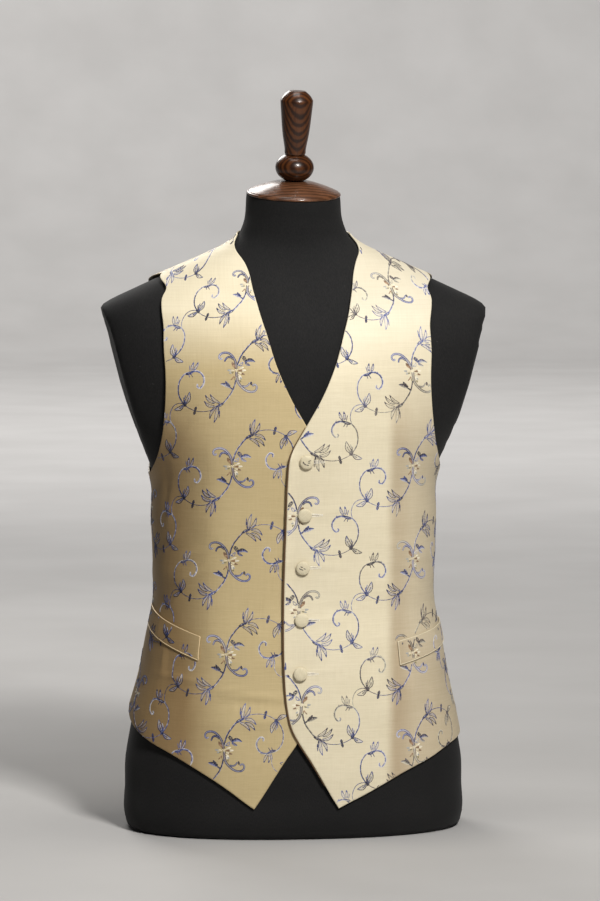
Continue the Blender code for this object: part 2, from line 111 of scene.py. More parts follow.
# A welt's inner end, its upper edge there and how far it rises to its outer end. The waistcoat
# hangs a little askew, so the welt at -X, side -1, is the higher and the steeper one
WELTS = {1: (48.5 * DEG, 220.5 * MM, 17.0 * MM), -1: (51.5 * DEG, 228.0 * MM, 29.0 * MM)}
WELT_OUTER = 87.0 * DEG
WELT_HEIGHT = 26.0 * MM
WELT_TAPER = 5.0 * MM  # how much less high it is at its outer end
NECK_TOP = 726.0 * MM
NECK_LEAN_FROM = 692.0 * MM  # above this the neck leans into the cap's slope
CAP_LEAN = 9.0 * DEG  # towards the front
CAP_SIDE_LEAN = 1.0 * DEG  # towards +X
CAP_RADIUS = 53.8 * MM
CAP_MIDDLE = -5.0 * MM  # the middle of the neck's top, along Y
CAP_EDGE = 3.4 * MM
CAP_RISE = 13.4 * MM
BALL_RADIUS = 22.0 * MM
BALL_HEIGHT = 29.0 * MM
BALL_CUT = 2.5 * MM
HANDLE_HEIGHT = 73.0 * MM
HANDLE_LOW = 12.0 * MM
HANDLE_WIDE = 18.6 * MM
HANDLE_TOP = 10.5 * MM
HANDLE_CHAMFER = 9.5 * MM
TOP_REACH = 3  # a higher power keeps a panel's rows straight until near its top

# %% The form's rings
# The form: half_width at the sides, front and back depth, and how square the ring is
FORM_COLUMNS = ("height", "half_width", "front", "back", "square")
FORM = (
    (0.0, 187.5, 113.0, 119.0, 2.35),
    (3.0, 191.5, 117.5, 123.5, 2.35),
    (10.0, 194.0, 120.5, 126.5, 2.35),
    (50.0, 194.5, 121.5, 127.5, 2.35),
    (78.0, 194.0, 121.5, 127.5, 2.35),
    (100.0, 190.5, 120.5, 127.0, 2.35),
    (128.0, 185.0, 119.5, 126.5, 2.35),
    (172.0, 174.5, 116.5, 122.0, 2.35),
    (218.0, 165.0, 112.0, 112.0, 2.35),
    (264.0, 156.0, 107.5, 99.0, 2.35),
    (300.0, 155.0, 106.0, 93.0, 2.35),
    (356.0, 158.0, 109.0, 95.0, 2.35),
    (409.0, 162.0, 113.5, 101.0, 2.3),
    (440.0, 178.0, 115.5, 105.0, 2.2),
    (480.0, 205.0, 117.0, 109.0, 2.15),
    (530.0, 228.0, 115.0, 111.0, 2.15),
    (570.0, 234.0, 105.0, 110.0, 2.15),
    (592.0, 229.0, 94.0, 106.0, 2.15),
    (604.0, 214.0, 86.0, 102.0, 2.15),
    (620.0, 181.0, 75.0, 95.0, 2.15),
    (640.0, 137.0, 62.0, 85.0, 2.15),
    (656.0, 101.0, 53.0, 75.0, 2.1),
    (666.0, 80.0, 50.0, 67.0, 2.05),
    (676.0, 66.0, 50.0, 60.0, 2.0),
    (690.0, 58.5, 52.0, 54.0, 2.0),
    (726.0, 53.5, 58.5, 48.5, 2.0),
)
# The flat arm ends slant in from the shoulder tip to the underarm
ARM_END_COLUMNS = ("height", "half_width")
ARM_END = (
    (415.0, 163.5),
    (445.0, 174.5),
    (480.0, 187.0),
    (510.0, 196.0),
    (540.0, 203.5),
    (570.0, 211.0),
    (600.0, 221.0),
    (620.0, 230.0),
)

# Room between the form and the inside of the cloth
EASE_COLUMNS = ("height", "ease")
EASE = (
    (0.0, 2.0),
    (128.0, 2.0),
    (172.0, 2.5),
    (218.0, 4.0),
    (264.0, 3.8),
    (300.0, 5.0),
    (356.0, 4.0),
    (395.0, 3.0),
    (440.0, 3.2),
    (480.0, 2.6),
    (550.0, 2.9),
    (598.0, 4.0),
    (622.0, 3.0),
    (645.0, 1.9),
    (665.0, 1.6),
    (726.0, 2.0),
)

# A front's edge from its point up to the shoulder, as distance from the closing line and height
FRONT_EDGE = (
    (47.5, 36.0),
    (41.0, 46.0),
    (28.5, 67.0),
    (15.0, 89.0),
    (0.5, 111.0),
    (-8.0, 127.0),
    (-13.0, 146.0),
    (-16.5, 175.0),
    (-19.0, 221.0),
    (-20.0, 290.0),
    (-20.0, 358.0),
    (-20.0, 408.0),
    (-17.0, 436.0),
    (-0.5, 467.0),
    (16.5, 497.0),
    (32.0, 532.0),
    (44.5, 573.0),
    (55.0, 613.0),
    (63.0, 648.0),
)
NECK_POINT = 680.0  # the height where neckline and shoulder seam meet
SEAM_POINTS = 6  # of a side table, as far as the underarm
SEAM_SHARE = 0.52  # of a panel's side that is side seam
SHOULDER_SHARE = 7 / 13  # of a back's top that is shoulder seam
# Its hem, as distance from the middle, height and tilt: how much higher it hangs at -X than here,
# and lower at +X
FRONT_HEM = (
    (172.0, 105.3, 5.2),
    (147.0, 92.0, 4.0),
    (116.0, 76.3, 1.4),
    (91.0, 62.0, -0.3),
    (66.0, 46.1, -3.4),
)
SIDE_LIFT = {1: -7.0, -1: 19.0}  # of the hem at each side seam, which dies out going up
LIFT_FADE = (118.0, 230.0)
# The side seam and the armhole, upwards, as angle and height, and how much further round the
# armhole lies at -X
FRONT_SIDE = (
    (90.5, 118.0, 0.0),
    (91.9, 132.0, 0.0),
    (92.0, 150.0, 0.0),
    (92.0, 210.0, 0.0),
    (92.0, 300.0, 0.0),
    (92.0, 409.0, 0.0),
    (82.0, 413.0, 0.0),
    (73.0, 426.0, 0.2),
    (66.5, 444.0, 0.9),
    (61.0, 472.0, 1.5),
    (57.8, 510.0, 2.0),
    (58.0, 541.0, 2.1),
    (60.5, 579.0, 2.3),
    (67.0, 605.0, 1.3),
    (72.7, 620.0, 0.3),
    (86.0, 634.0, 0.0),
)
BACK_SIDE = (
    (93.5, 118.0),
    (92.1, 132.0),
    (92.0, 150.0),
    (92.0, 210.0),
    (92.0, 300.0),
    (92.0, 409.0),
    (98.0, 413.0),
    (105.0, 425.0),
    (111.0, 444.0),
    (117.0, 472.0),
    (120.5, 510.0),
    (121.0, 545.0),
    (119.0, 580.0),
    (115.5, 606.0),
    (105.0, 621.5),
    (86.0, 634.0),
)
BACK_HEM = ((110.0, 118.0), (145.0, 118.0))
BACK_HEM_MIDDLE = 118.0
BACK_NECK = ((95.0, 682.0), (130.0, 685.0))
BACK_NECK_MIDDLE = 686.0

# The largest folds, as soft ridges: across, height, half length and half width, lift, and turn
# from level
FOLDS = (
    (-58.0, 136.0, 46.0, 12.0, 2.2, 4.0),
    (-80.0, 112.0, 20.0, 15.0, 1.8, 84.0),
    (118.0, 168.0, 30.0, 13.0, 2.0, 82.0),
    (86.0, 150.0, 26.0, 14.0, 1.4, 97.0),
    (-132.0, 300.0, 30.0, 13.0, 2.0, 24.0),
    (130.0, 318.0, 30.0, 14.0, 1.8, -20.0),
    (-112.0, 262.0, 34.0, 14.0, 1.5, 32.0),
    (108.0, 276.0, 32.0, 14.0, 1.5, -28.0),
    (120.0, 452.0, 34.0, 15.0, 1.6, -42.0),
    (-122.0, 448.0, 34.0, 15.0, 1.6, 44.0),
    (-186.0, 130.0, 40.0, 42.0, 3.4, 90.0),
)
BACK_FOLDS = (
    (-70.0, 300.0, 52.0, 14.0, 2.0, 6.0),
    (74.0, 322.0, 48.0, 14.0, 2.2, -8.0),
    (-96.0, 272.0, 34.0, 13.0, 1.7, -16.0),
    (100.0, 284.0, 34.0, 13.0, 1.6, 14.0),
    (-60.0, 500.0, 18.0, 16.0, 1.4, 78.0),
    (66.0, 512.0, 18.0, 16.0, 1.4, 100.0),
    (-186.0, 130.0, 40.0, 42.0, 3.4, 90.0),
)


# %% The surface
def column(table, names, name):
    """One named column of a table."""
    return np.array([row[names.index(name)] for row in table], dtype=float)


def smooth(knots, values, at):
    """A smooth curve through the values at the knots, read at the places given."""
    at = np.clip(at, knots[0], knots[-1])
    slopes = np.gradient(values, knots)
    i = np.clip(np.searchsorted(knots, at) - 1, 0, len(knots) - 2)
    width = knots[i + 1] - knots[i]
    t = (at - knots[i]) / width
    rise = values[i] * (1 + 2 * t) * (1 - t) ** 2 + values[i + 1] * t * t * (3 - 2 * t)
    lean = slopes[i] * t * (1 - t) ** 2 - slopes[i + 1] * t * t * (1 - t)
    return rise + lean * width


FORM_HEIGHTS = column(FORM, FORM_COLUMNS, "height") * MM


def form_size(name, height):
    """One of the form's measures at these heights, in metres except square."""
    scale = 1.0 if name == "square" else MM
    return smooth(FORM_HEIGHTS, column(FORM, FORM_COLUMNS, name) * scale, height)


def ease_at(height):
    """The cloth's ease at these heights."""
    heights = column(EASE, EASE_COLUMNS, "height") * MM
    return smooth(heights, column(EASE, EASE_COLUMNS, "ease") * MM, height)


def on_form(angle, height):
    """The form's own surface at these angles and heights, as an array of points."""
    across = np.abs(np.sin(angle))
    along = np.abs(np.cos(angle))
    depth = np.where(np.cos(angle) > 0, form_size("front", height), form_size("back", height))
    square = form_size("square", height)
    wide = form_size("half_width", height)
    reach = ((across / wide) ** square + (along / depth) ** square) ** (-1 / square)
    return np.stack([reach * np.sin(angle), -reach * np.cos(angle), height + 0 * angle], -1)


def form_normal(angle, height):
    """The outward direction of the form's surface."""
    step = 1e-4
    round_it = on_form(angle + step, height) - on_form(angle - step, height)
    up_it = on_form(angle, height + step) - on_form(angle, height - step)
    normal = np.cross(round_it, up_it)
    return normal / np.linalg.norm(normal, axis=-1, keepdims=True)


def angle_at(across, height):
    """The angle on the front at which the surface is this far to the side."""
    wide = form_size("half_width", height)
    square = form_size("square", height)
    share = np.clip(np.abs(across) / wide, 0, 1)
    deep = form_size("front", height) * (1 - share**square) ** (1 / square)
    return np.arctan2(across, deep)


def closing_line(height):
    """How far to the side of the middle the buttoned line lies."""
    lean = (height - CLOSING_UPRIGHT) * CLOSING_LEAN
    return np.minimum(lean, (BUTTON_TOP - CLOSING_UPRIGHT) * CLOSING_LEAN)


def ease_step(value, low, high):
    """0 below low, 1 above high and a smooth rise between them."""
    t = np.clip((value - low) / (high - low), 0, 1)
    return t * t * (3 - 2 * t)


def fold_lift(angle, height):
    """How far the folds stand out at these places."""
    point = on_form(angle, height)
    total = np.zeros(point.shape[:-1])
    for folds, here in ((FOLDS, np.cos(angle) > 0), (BACK_FOLDS, np.cos(angle) <= 0)):
        for across, level, length, width, lift, turn in folds:
            aside = point[..., 0] - across * MM
            above = point[..., 2] - level * MM
            along = aside * math.cos(turn * DEG) + above * math.sin(turn * DEG)
            over = above * math.cos(turn * DEG) - aside * math.sin(turn * DEG)
            soft = np.exp(-((along / (length * MM)) ** 2) - (over / (width * MM)) ** 2)
            total += np.where(here, lift * MM * soft, 0)
    return total


def outer_rise(angle, height):
    """How far the outer front, the one at +X, rises to pass over the inner one."""
    aside = on_form(angle, height)[..., 0] - closing_line(height)
    near = 1 - ease_step(aside, LAP + LAP_LEVEL, LAP + LAP_LEVEL + LAP_RAMP)
    return (CLOTH + SEAM + LAP_ROOM) * near * (1 - ease_step(height, *LAP_TOP))


def on_cloth(angle, height, thickness, side, over=0.0):
    """Points on the outside of the cloth, or this far over it. Side is 1 at +X and -1 at -X."""
    lift = ease_at(height) + thickness + fold_lift(angle, height) + over
    if side > 0:
        lift = lift + np.where(np.cos(angle) > 0, outer_rise(angle, height), 0)
    return on_form(angle, height) + form_normal(angle, height) * lift[..., None]


def run(points, share):
    """A smooth curve through angle and height points, read at shares of its real length."""
    points = np.array(points)
    knots = np.arange(len(points), dtype=float)
    fine = np.linspace(0, knots[-1], 20 * len(points))
    traced = np.stack([smooth(knots, points[:, i], fine) for i in (0, 1)], -1)
    steps = np.diff(on_form(traced[:, 0], traced[:, 1]), axis=0)
    length = np.concatenate([[0], np.cumsum(np.linalg.norm(steps, axis=1))])
    at = np.asarray(share) * length[-1]
    return np.stack([np.interp(at, length, traced[:, i]) for i in (0, 1)], -1)


def border(runs, share):
    """Runs that meet at corners, each with the share of the border where it ends."""
    share = np.asarray(share, dtype=float)
    found = np.zeros(share.shape + (2,))
    begin = 0.0
    for points, end in runs:
        here = (share >= begin) & (share <= end)
        found[here] = run(points, (share[here] - begin) / (end - begin))
        begin = end
    return found


def patch(bottom, top, left, right, u, v):
    """Rows from the left border to the right one, bent to the bottom and top borders near those."""
    u, v = u[..., None], v[..., None]
    rows = (1 - u) * border(left, v[..., 0]) + u * border(right, v[..., 0])
    for runs, near in ((bottom, 1 - v), (top, v**TOP_REACH)):
        chord = (1 - u) * np.array(runs[0][0][0]) + u * np.array(runs[-1][0][-1])
        rows = rows + near * (border(runs, u[..., 0]) - chord)
    return rows


def side_runs(points):
    """The side seam and the armhole, which meet in a corner at the underarm."""
    return [(points[:SEAM_POINTS], SEAM_SHARE), (points[SEAM_POINTS - 1 :], 1.0)]


def hung(height, side):
    """A height on the side seam in metres, with the lift that it has near the hem."""
    near = 1 - float(ease_step(height, *LIFT_FADE))
    return (height + SIDE_LIFT[side] * near) * MM


def front_borders(side):
    """A front's hem, shoulder seam, side and edge, as angle and height."""
    edge = []
    for across, height in FRONT_EDGE:
        level = height * MM
        aside = across * MM + side * closing_line(level)
        edge.append((float(angle_at(aside, level)), level))
    edge.append((SHOULDER_ANGLE - SEAM_ANGLE, NECK_POINT * MM))
    sides = []
    for angle, height, further in FRONT_SIDE:
        turn = angle + (further if side < 0 else 0)
        sides.append((turn * DEG - SEAM_ANGLE, hung(height, side)))
    hem = [sides[0]]
    for across, height, tilt in FRONT_HEM:
        level = (height - side * tilt) * MM
        hem.append((float(angle_at(across * MM, level)), level))
    hem.append(edge[0])
    shoulder = [sides[-1], edge[-1]]
    return [(hem, 1.0)], [(shoulder, 1.0)], side_runs(sides), [(edge, 1.0)]


def back_borders(side):
    """A back's hem, shoulder seam and neckline, side and middle seam, as angle and height."""
    sides = [(angle * DEG + SEAM_ANGLE, hung(height, side)) for angle, height in BACK_SIDE]
    middle = math.pi - SEAM_ANGLE
    hem = [sides[0]]
    for angle, height in BACK_HEM:
        near = math.sin(angle * DEG) ** 2
        hem.append((angle * DEG, (height + SIDE_LIFT[side] * near) * MM))
    hem.append((middle, BACK_HEM_MIDDLE * MM))
    shoulder = [sides[-1], (sides[-1][0], NECK_POINT * MM)]
    neck = [shoulder[-1]] + [(angle * DEG, height * MM) for angle, height in BACK_NECK]
    neck.append((middle, BACK_NECK_MIDDLE * MM))
    top = [(shoulder, SHOULDER_SHARE), (neck, 1.0)]
    return [(hem, 1.0)], top, side_runs(sides), [([hem[-1], neck[-1]], 1.0)]


def front_place(side, u, v):
    """Angle and height on a front. Side is 1 at +X, and u grows towards +X."""
    u = u if side < 0 else 1 - u
    place = patch(*front_borders(side), u, v)
    return side * place[..., 0], place[..., 1]


def back_place(side, u, v):
    """Angle and height on a back. Side is 1 at +X, and u grows as the angle does."""
    u = u if side > 0 else 1 - u
    place = patch(*back_borders(side), u, v)
    return side * place[..., 0], place[..., 1]


def welt_place(side, u, v):
    """Angle and height on a pocket welt, a strip that rises towards the side."""
    u = u if side > 0 else 1 - u
    inner, top, rise = WELTS[side]
    angle = inner + (WELT_OUTER - inner) * u
    return side * angle, top + rise * u - (WELT_HEIGHT - WELT_TAPER * u) * (1 - v)

# %% [markdown]
# ## Where a thread lies
# Embroidery is worked flat, before the silk is sewn up, so its chart is flat too: across
# is the distance round the body from the buttoned line, and up is the distance along the
# cloth. Two tables turn such a flat place into an angle and a height: one measures how far
# it is round each ring, the other how far it is up the front.

# %% From flat cloth to the body
LEVELS = np.linspace(20 * MM, 700 * MM, 341)
TURNS = np.linspace(-math.pi, math.pi, 361)
WALL = CLOTH + 3 * MM  # the cloth's outside, measured from the form


def ring_lengths():
    """How far each turn is round the ring from the centre front, at each level."""
    angle, height = np.meshgrid(TURNS, LEVELS)
    points = on_form(angle, height) + form_normal(angle, height) * WALL
    steps = np.linalg.norm(np.diff(points, axis=1)[..., :2], axis=-1)
    total = np.concatenate([np.zeros((len(LEVELS), 1)), np.cumsum(steps, axis=1)], 1)
    return total - total[:, [len(TURNS) // 2]]


def climb():
    """How far each level is up the cloth, measured beside the middle of the front."""
    points = on_form(np.full_like(LEVELS, 42 * DEG), LEVELS)
    steps = np.hypot(np.diff(points[:, 1]), np.diff(points[:, 2]))
    total = np.concatenate([[0], np.cumsum(steps)])
    return total - np.interp(REFERENCE_LEVEL, LEVELS, total) + REFERENCE_LEVEL


def grid_read(grid, row_place, column_place):
    """Reads a grid between its rows and columns."""
    row = np.clip(row_place, 0, grid.shape[0] - 1.001)
    col = np.clip(column_place, 0, grid.shape[1] - 1.001)
    i, j = row.astype(int), col.astype(int)
    p, q = row - i, col - j
    low = grid[i, j] * (1 - q) + grid[i, j + 1] * q
    high = grid[i + 1, j] * (1 - q) + grid[i + 1, j + 1] * q
    return low * (1 - p) + high * p


REFERENCE_LEVEL = 345 * MM
AROUND = ring_lengths()
CLIMB = climb()
REACHES = np.linspace(-0.30, 0.30, 601)
TURN_AT = np.stack([np.interp(REACHES, row, TURNS) for row in AROUND])


def to_flat(angle, height):
    """Across and up on the flat cloth, for places on the body."""
    row = (height - LEVELS[0]) / (LEVELS[1] - LEVELS[0])
    col = (angle - TURNS[0]) / (TURNS[1] - TURNS[0])
    across = grid_read(AROUND, row, col) - closing_line(height)
    return across, np.interp(height, LEVELS, CLIMB)


def to_body(across, up):
    """Angle and height on the body, for places on the flat cloth."""
    height = np.interp(up, CLIMB, LEVELS)
    row = (height - LEVELS[0]) / (LEVELS[1] - LEVELS[0])
    reach = across + closing_line(height)
    col = (reach - REACHES[0]) / (REACHES[1] - REACHES[0])
    return grid_read(TURN_AT, row, col), height


waist = int(np.argmin(np.abs(LEVELS - 300 * MM)))
print("half the girth at the waist: %.0f mm" % (AROUND[waist, -1] / MM))

# %% [markdown]
# ## Materials
# Silk dupion is woven with a thick and thin weft, so its surface is crossed by fine level
# slubs, and its warp and weft catch the light apart: that gives the soft sheen. The weave
# follows the cloth and not the room, so each piece of cloth carries its flat coordinates
# as an attribute, and the noise reads those.


# %% Helpers for node materials
def new_material(name):
    """A material with its Principled shader."""
    material = bpy.data.materials.new(name)
    material.use_nodes = True
    return material, material.node_tree, material.node_tree.nodes["Principled BSDF"]


def add(tree, kind, **inputs):
    """A node with its inputs set or linked: an output socket links, anything else is set."""
    node = tree.nodes.new(kind)
    for key, value in inputs.items():
        if isinstance(value, bpy.types.NodeSocket):
            tree.links.new(value, node.inputs[key])
        else:
            node.inputs[key].default_value = value
    return node


def cloth_coordinates(tree, scale):
    """The cloth's flat coordinates, stretched by scale along each axis."""
    source = tree.nodes.new("ShaderNodeAttribute")
    source.attribute_name = "cut"
    mapping = add(tree, "ShaderNodeMapping", Vector=source.outputs["Vector"], Scale=scale)
    return mapping.outputs["Vector"]


def noise(tree, vector, scale, detail=2.0, roughness=0.5):
    """A noise texture's value."""
    node = add(tree, "ShaderNodeTexNoise", Vector=vector, Scale=scale, Detail=detail)
    node.inputs["Roughness"].default_value = roughness
    return node.outputs["Fac"]


def ramp(tree, factor, stops):
    """A colour ramp through the stops, each a place and a colour."""
    node = add(tree, "ShaderNodeValToRGB", Fac=factor)
    while len(node.color_ramp.elements) < len(stops):
        node.color_ramp.elements.new(0.5)
    for element, (place, colour) in zip(node.color_ramp.elements, stops):
        element.position = place
        element.color = (*colour, 1)
    return node.outputs["Color"]


def mix(tree, factor, first, second, blend="MIX"):
    """Two colours mixed."""
    node = tree.nodes.new("ShaderNodeMix")
    node.data_type = "RGBA"
    node.blend_type = blend
    for index, value in ((0, factor), (6, first), (7, second)):
        if isinstance(value, bpy.types.NodeSocket):
            tree.links.new(value, node.inputs[index])
        elif index:
            node.inputs[index].default_value = (*value, 1)
        else:
            node.inputs[index].default_value = value
    return node.outputs[2]


def bump(tree, shader, heights):
    """Bump nodes in a chain, each a height, a distance in metres and a strength."""
    normal = None
    for height, distance, strength in heights:
        node = add(tree, "ShaderNodeBump", Height=height, Distance=distance, Strength=strength)
        if normal is not None:
            tree.links.new(normal, node.inputs["Normal"])
        normal = node.outputs["Normal"]
    tree.links.new(normal, shader.inputs["Normal"])


# %% The silk
# How fine each unevenness is round the body and up it, in features to a metre, with its
# detail and roughness: slubs, long slubs, warp, crinkle and the clouds of the dye
SILK_WEAVE = (
    ((75, 1300), 3.0, 0.6),
    ((16, 620), 2.0, 0.5),
    ((900, 40), 2.0, 0.5),
    ((210, 16), 2.0, 0.5),
    ((9, 14), 3.0, 0.55),
)


def silk_material(name, pale, deep, sheen, roughness, painted_crown=None):
    """Dupion silk: fine slubs across, a faint crinkle along the warp, and unevenness in its dye.

    Where the cloth turns to the side, painted shade read from the cut attribute's Z darkens it.
    Given a shoulder tone, the cloth over the shoulder blends to it: painted light on the deeper
    silk, painted shade on the paler one."""
    material, tree, shader = new_material(name)
    slub, long_slub, warp, crinkle, cloud = (
        noise(tree, cloth_coordinates(tree, (*weave, 1)), 1.0, detail, rough)
        for weave, detail, rough in SILK_WEAVE
    )
    colour = ramp(tree, slub, ((0.22, deep), (0.78, pale)))
    # Painted shade: the cut attribute's Z darkens the flanks towards the shade colour
    place = add(tree, "ShaderNodeSeparateXYZ", Vector=cloth_coordinates(tree, (1, 1, 1)))
    turned = ramp(tree, place.outputs["Z"], ((0.0, (1, 1, 1)), (1.0, FLANK_PAINTED_SHADE)))
    colour = mix(tree, 1.0, colour, turned, "MULTIPLY")
    # Painted light and shade over the shoulder: above these heights the colour blends to the
    # shoulder tone
    if painted_crown is not None:
        near = add(tree, "ShaderNodeMapRange", Value=place.outputs["Y"])
        near.inputs["From Min"].default_value = PAINTED_CROWN_FROM
        near.inputs["From Max"].default_value = PAINTED_CROWN_TO
        colour = mix(tree, near.outputs["Result"], colour, painted_crown)
    lined = ramp(tree, long_slub, ((0.38, (0.93, 0.92, 0.90)), (0.62, (1, 1, 1))))
    crossed = ramp(tree, warp, ((0.35, (0.95, 0.945, 0.93)), (0.65, (1, 1, 1))))
    clouded = ramp(tree, cloud, ((0.3, (0.93, 0.92, 0.89)), (0.7, (1, 1, 1))))
    for factor, shade in ((0.5, lined), (0.6, crossed), (0.8, clouded)):
        colour = mix(tree, factor, colour, shade, "MULTIPLY")
    tree.links.new(colour, shader.inputs["Base Color"])
    rough = add(tree, "ShaderNodeMapRange", Value=slub)
    rough.inputs["To Min"].default_value = roughness - 0.04
    rough.inputs["To Max"].default_value = roughness + 0.06
    tree.links.new(rough.outputs["Result"], shader.inputs["Roughness"])
    shader.inputs["Metallic"].default_value = SILK_GLOSS
    shader.inputs["Sheen Weight"].default_value = sheen
    shader.inputs["Sheen Roughness"].default_value = 0.4
    shader.inputs["Sheen Tint"].default_value = (1.0, 0.96, 0.86, 1)
    shader.inputs["Specular IOR Level"].default_value = 0.34
    bump(tree, shader, (
        (slub, 0.00018, 0.4),
        (long_slub, 0.0003, 0.2),
        (crinkle, 0.0006, 0.35),
    ))
    return material


SILK_GLOSS = 0.08  # silk gives light back along its filaments more than other cloth does
# The colour that the painted flank shade multiplies the silk by, at full strength
FLANK_PAINTED_SHADE = (0.56, 0.47, 0.40)
# Heights over which the silk blends to its painted shoulder tone
PAINTED_CROWN_FROM = 530 * MM
PAINTED_CROWN_TO = 600 * MM
PALE_SILK = (0.790, 0.715, 0.540)
DEEP_SILK = (0.725, 0.645, 0.465)
# The wearer's left front; over the shoulder it blends to a slightly darker tone, painted shade
silk = silk_material("pale_gold_silk", PALE_SILK, DEEP_SILK, 0.05, 0.60, (0.715, 0.650, 0.505))
# The wearer's right front is the same silk painted a shade deeper, painted shade for the less light
# its nap gives back, and paler over the shoulder, painted light
painted_shade_silk = silk_material(
    "gold_silk_with_painted_shade", (0.590, 0.475, 0.265), (0.535, 0.420, 0.225), 0.03, 0.58,
    (0.760, 0.680, 0.500),
)
satin = silk_material("gold_satin", (0.56, 0.45, 0.26), (0.49, 0.385, 0.21), 0.12, 0.36)
lining = silk_material("cream_lining", (0.60, 0.54, 0.42), (0.52, 0.46, 0.34), 0.05, 0.5)
# Dark brown silk for a cord that is painted shadow under the outer front's edge
edge_shadow_silk = silk_material("brown_edge_painted_shadow", (0.150, 0.085, 0.040), (0.095, 0.052, 0.024), 0.02, 0.5)
peach = silk_material("peach_cord", (0.85, 0.68, 0.42), (0.76, 0.58, 0.34), 0.05, 0.45)
print("cloth:", silk.name, satin.name, lining.name, edge_shadow_silk.name, peach.name)


# %% Thread, jersey and wood
def thread_material():
    """Embroidery silk: each stitch's own colour, glossy along the thread."""
    material, tree, shader = new_material("embroidery_thread")
    tint = tree.nodes.new("ShaderNodeAttribute")
    tint.attribute_name = "thread"
    strand = noise(tree, cloth_coordinates(tree, (1800, 1800, 1)), 1.0, 2.0)
    shade = ramp(tree, strand, ((0.3, (0.74, 0.74, 0.74)), (0.7, (1.0, 1.0, 1.0))))
    colour = mix(tree, 0.8, tint.outputs["Color"], shade, "MULTIPLY")
    tree.links.new(colour, shader.inputs["Base Color"])
    shader.inputs["Roughness"].default_value = 0.42
    shader.inputs["Sheen Weight"].default_value = 0.15
    bump(tree, shader, ((strand, 0.0002, 0.5),))
    return material


def jersey_material():
    """Black knitted jersey, matt, with a fine rib and a little lint."""
    material, tree, shader = new_material("black_jersey")
    rib = noise(tree, cloth_coordinates(tree, (1300, 420, 1)), 1.0, 2.0)
    lint = noise(tree, cloth_coordinates(tree, (160, 160, 1)), 1.0, 4.0, 0.7)
    worn = noise(tree, cloth_coordinates(tree, (11, 8, 1)), 1.0, 3.0)
    base = ramp(tree, rib, ((0.3, (0.0025, 0.0025, 0.0027)), (0.75, (0.0075, 0.0072, 0.0072))))
    faded = ramp(tree, worn, ((0.35, (1, 1, 1)), (0.75, (1.7, 1.65, 1.6))))
    colour = mix(tree, 1.0, base, faded, "MULTIPLY")
    specks = ramp(tree, lint, ((0.70, (0, 0, 0)), (0.78, (0.03, 0.03, 0.03))))
    tree.links.new(mix(tree, 1.0, colour, specks, "ADD"), shader.inputs["Base Color"])
    shader.inputs["Roughness"].default_value = 0.86
    shader.inputs["Sheen Weight"].default_value = 0.025
    shader.inputs["Specular IOR Level"].default_value = 0.3
    bump(tree, shader, ((rib, 0.0003, 0.5),))
    return material


def wood_material(name, light, dark, rings, axis_tilt, coat):
    """Turned walnut: growth rings cut at a slant, fine pores, and a waxed coat."""
    material, tree, shader = new_material(name)
    source = tree.nodes.new("ShaderNodeTexCoord")
    trunk = add(tree, "ShaderNodeMapping", Vector=source.outputs["Object"])
    trunk.inputs["Location"].default_value = (0.004, -0.045, 0)
    trunk.inputs["Rotation"].default_value = axis_tilt
    growth = add(tree, "ShaderNodeTexWave", Vector=trunk.outputs["Vector"], Scale=rings)
    growth.wave_type = "RINGS"
    growth.rings_direction = "Z"
    growth.inputs["Distortion"].default_value = 2.2
    growth.inputs["Detail"].default_value = 3.0
    growth.inputs["Detail Scale"].default_value = 0.8
    fine = add(tree, "ShaderNodeMapping", Vector=source.outputs["Object"], Scale=(1100, 1100, 60))
    pores = noise(tree, fine.outputs["Vector"], 1.0, 2.0, 0.6)
    cloud = noise(tree, source.outputs["Object"], 45.0, 3.0)
    colour = ramp(tree, growth.outputs["Fac"], ((0.15, dark), (0.75, light)))
    pored = ramp(tree, pores, ((0.34, (0.45, 0.42, 0.40)), (0.48, (1, 1, 1))))
    clouded = ramp(tree, cloud, ((0.35, (0.72, 0.70, 0.68)), (0.65, (1.1, 1.1, 1.1))))
    colour = mix(tree, 0.7, colour, pored, "MULTIPLY")
    tree.links.new(mix(tree, 0.9, colour, clouded, "MULTIPLY"), shader.inputs["Base Color"])
    rough = add(tree, "ShaderNodeMapRange", Value=cloud)
    rough.inputs["To Min"].default_value = 0.26
    rough.inputs["To Max"].default_value = 0.38
    tree.links.new(rough.outputs["Result"], shader.inputs["Roughness"])
    shader.inputs["Coat Weight"].default_value = coat
    shader.inputs["Coat Roughness"].default_value = 0.12
    shader.inputs["Specular IOR Level"].default_value = 0.3
    bump(tree, shader, ((pores, 0.0002, 0.3),))
    return material


thread = thread_material()
jersey = jersey_material()
cap_wood = wood_material(
    "cap_walnut", (0.150, 0.062, 0.028), (0.070, 0.028, 0.012), 60, (0.3, 0.2, 0), 0.3
)
handle_wood = wood_material(
    "handle_walnut", (0.085, 0.028, 0.008), (0.024, 0.008, 0.003), 95, (0.22, 0.05, 0), 0.22
)
print("also:", thread.name, jersey.name, cap_wood.name, handle_wood.name)

# %% [markdown]
# ## The cloth pieces
# Each front and back is a fine grid laid on its place, drawn out into a thin slab, with its
# edges rolled over. The soft folds are the solids' own, and shallow ripples are added
# that the solids are too coarse to hold: the pull at each button, the slack above the
# pockets and the wave of the hem.

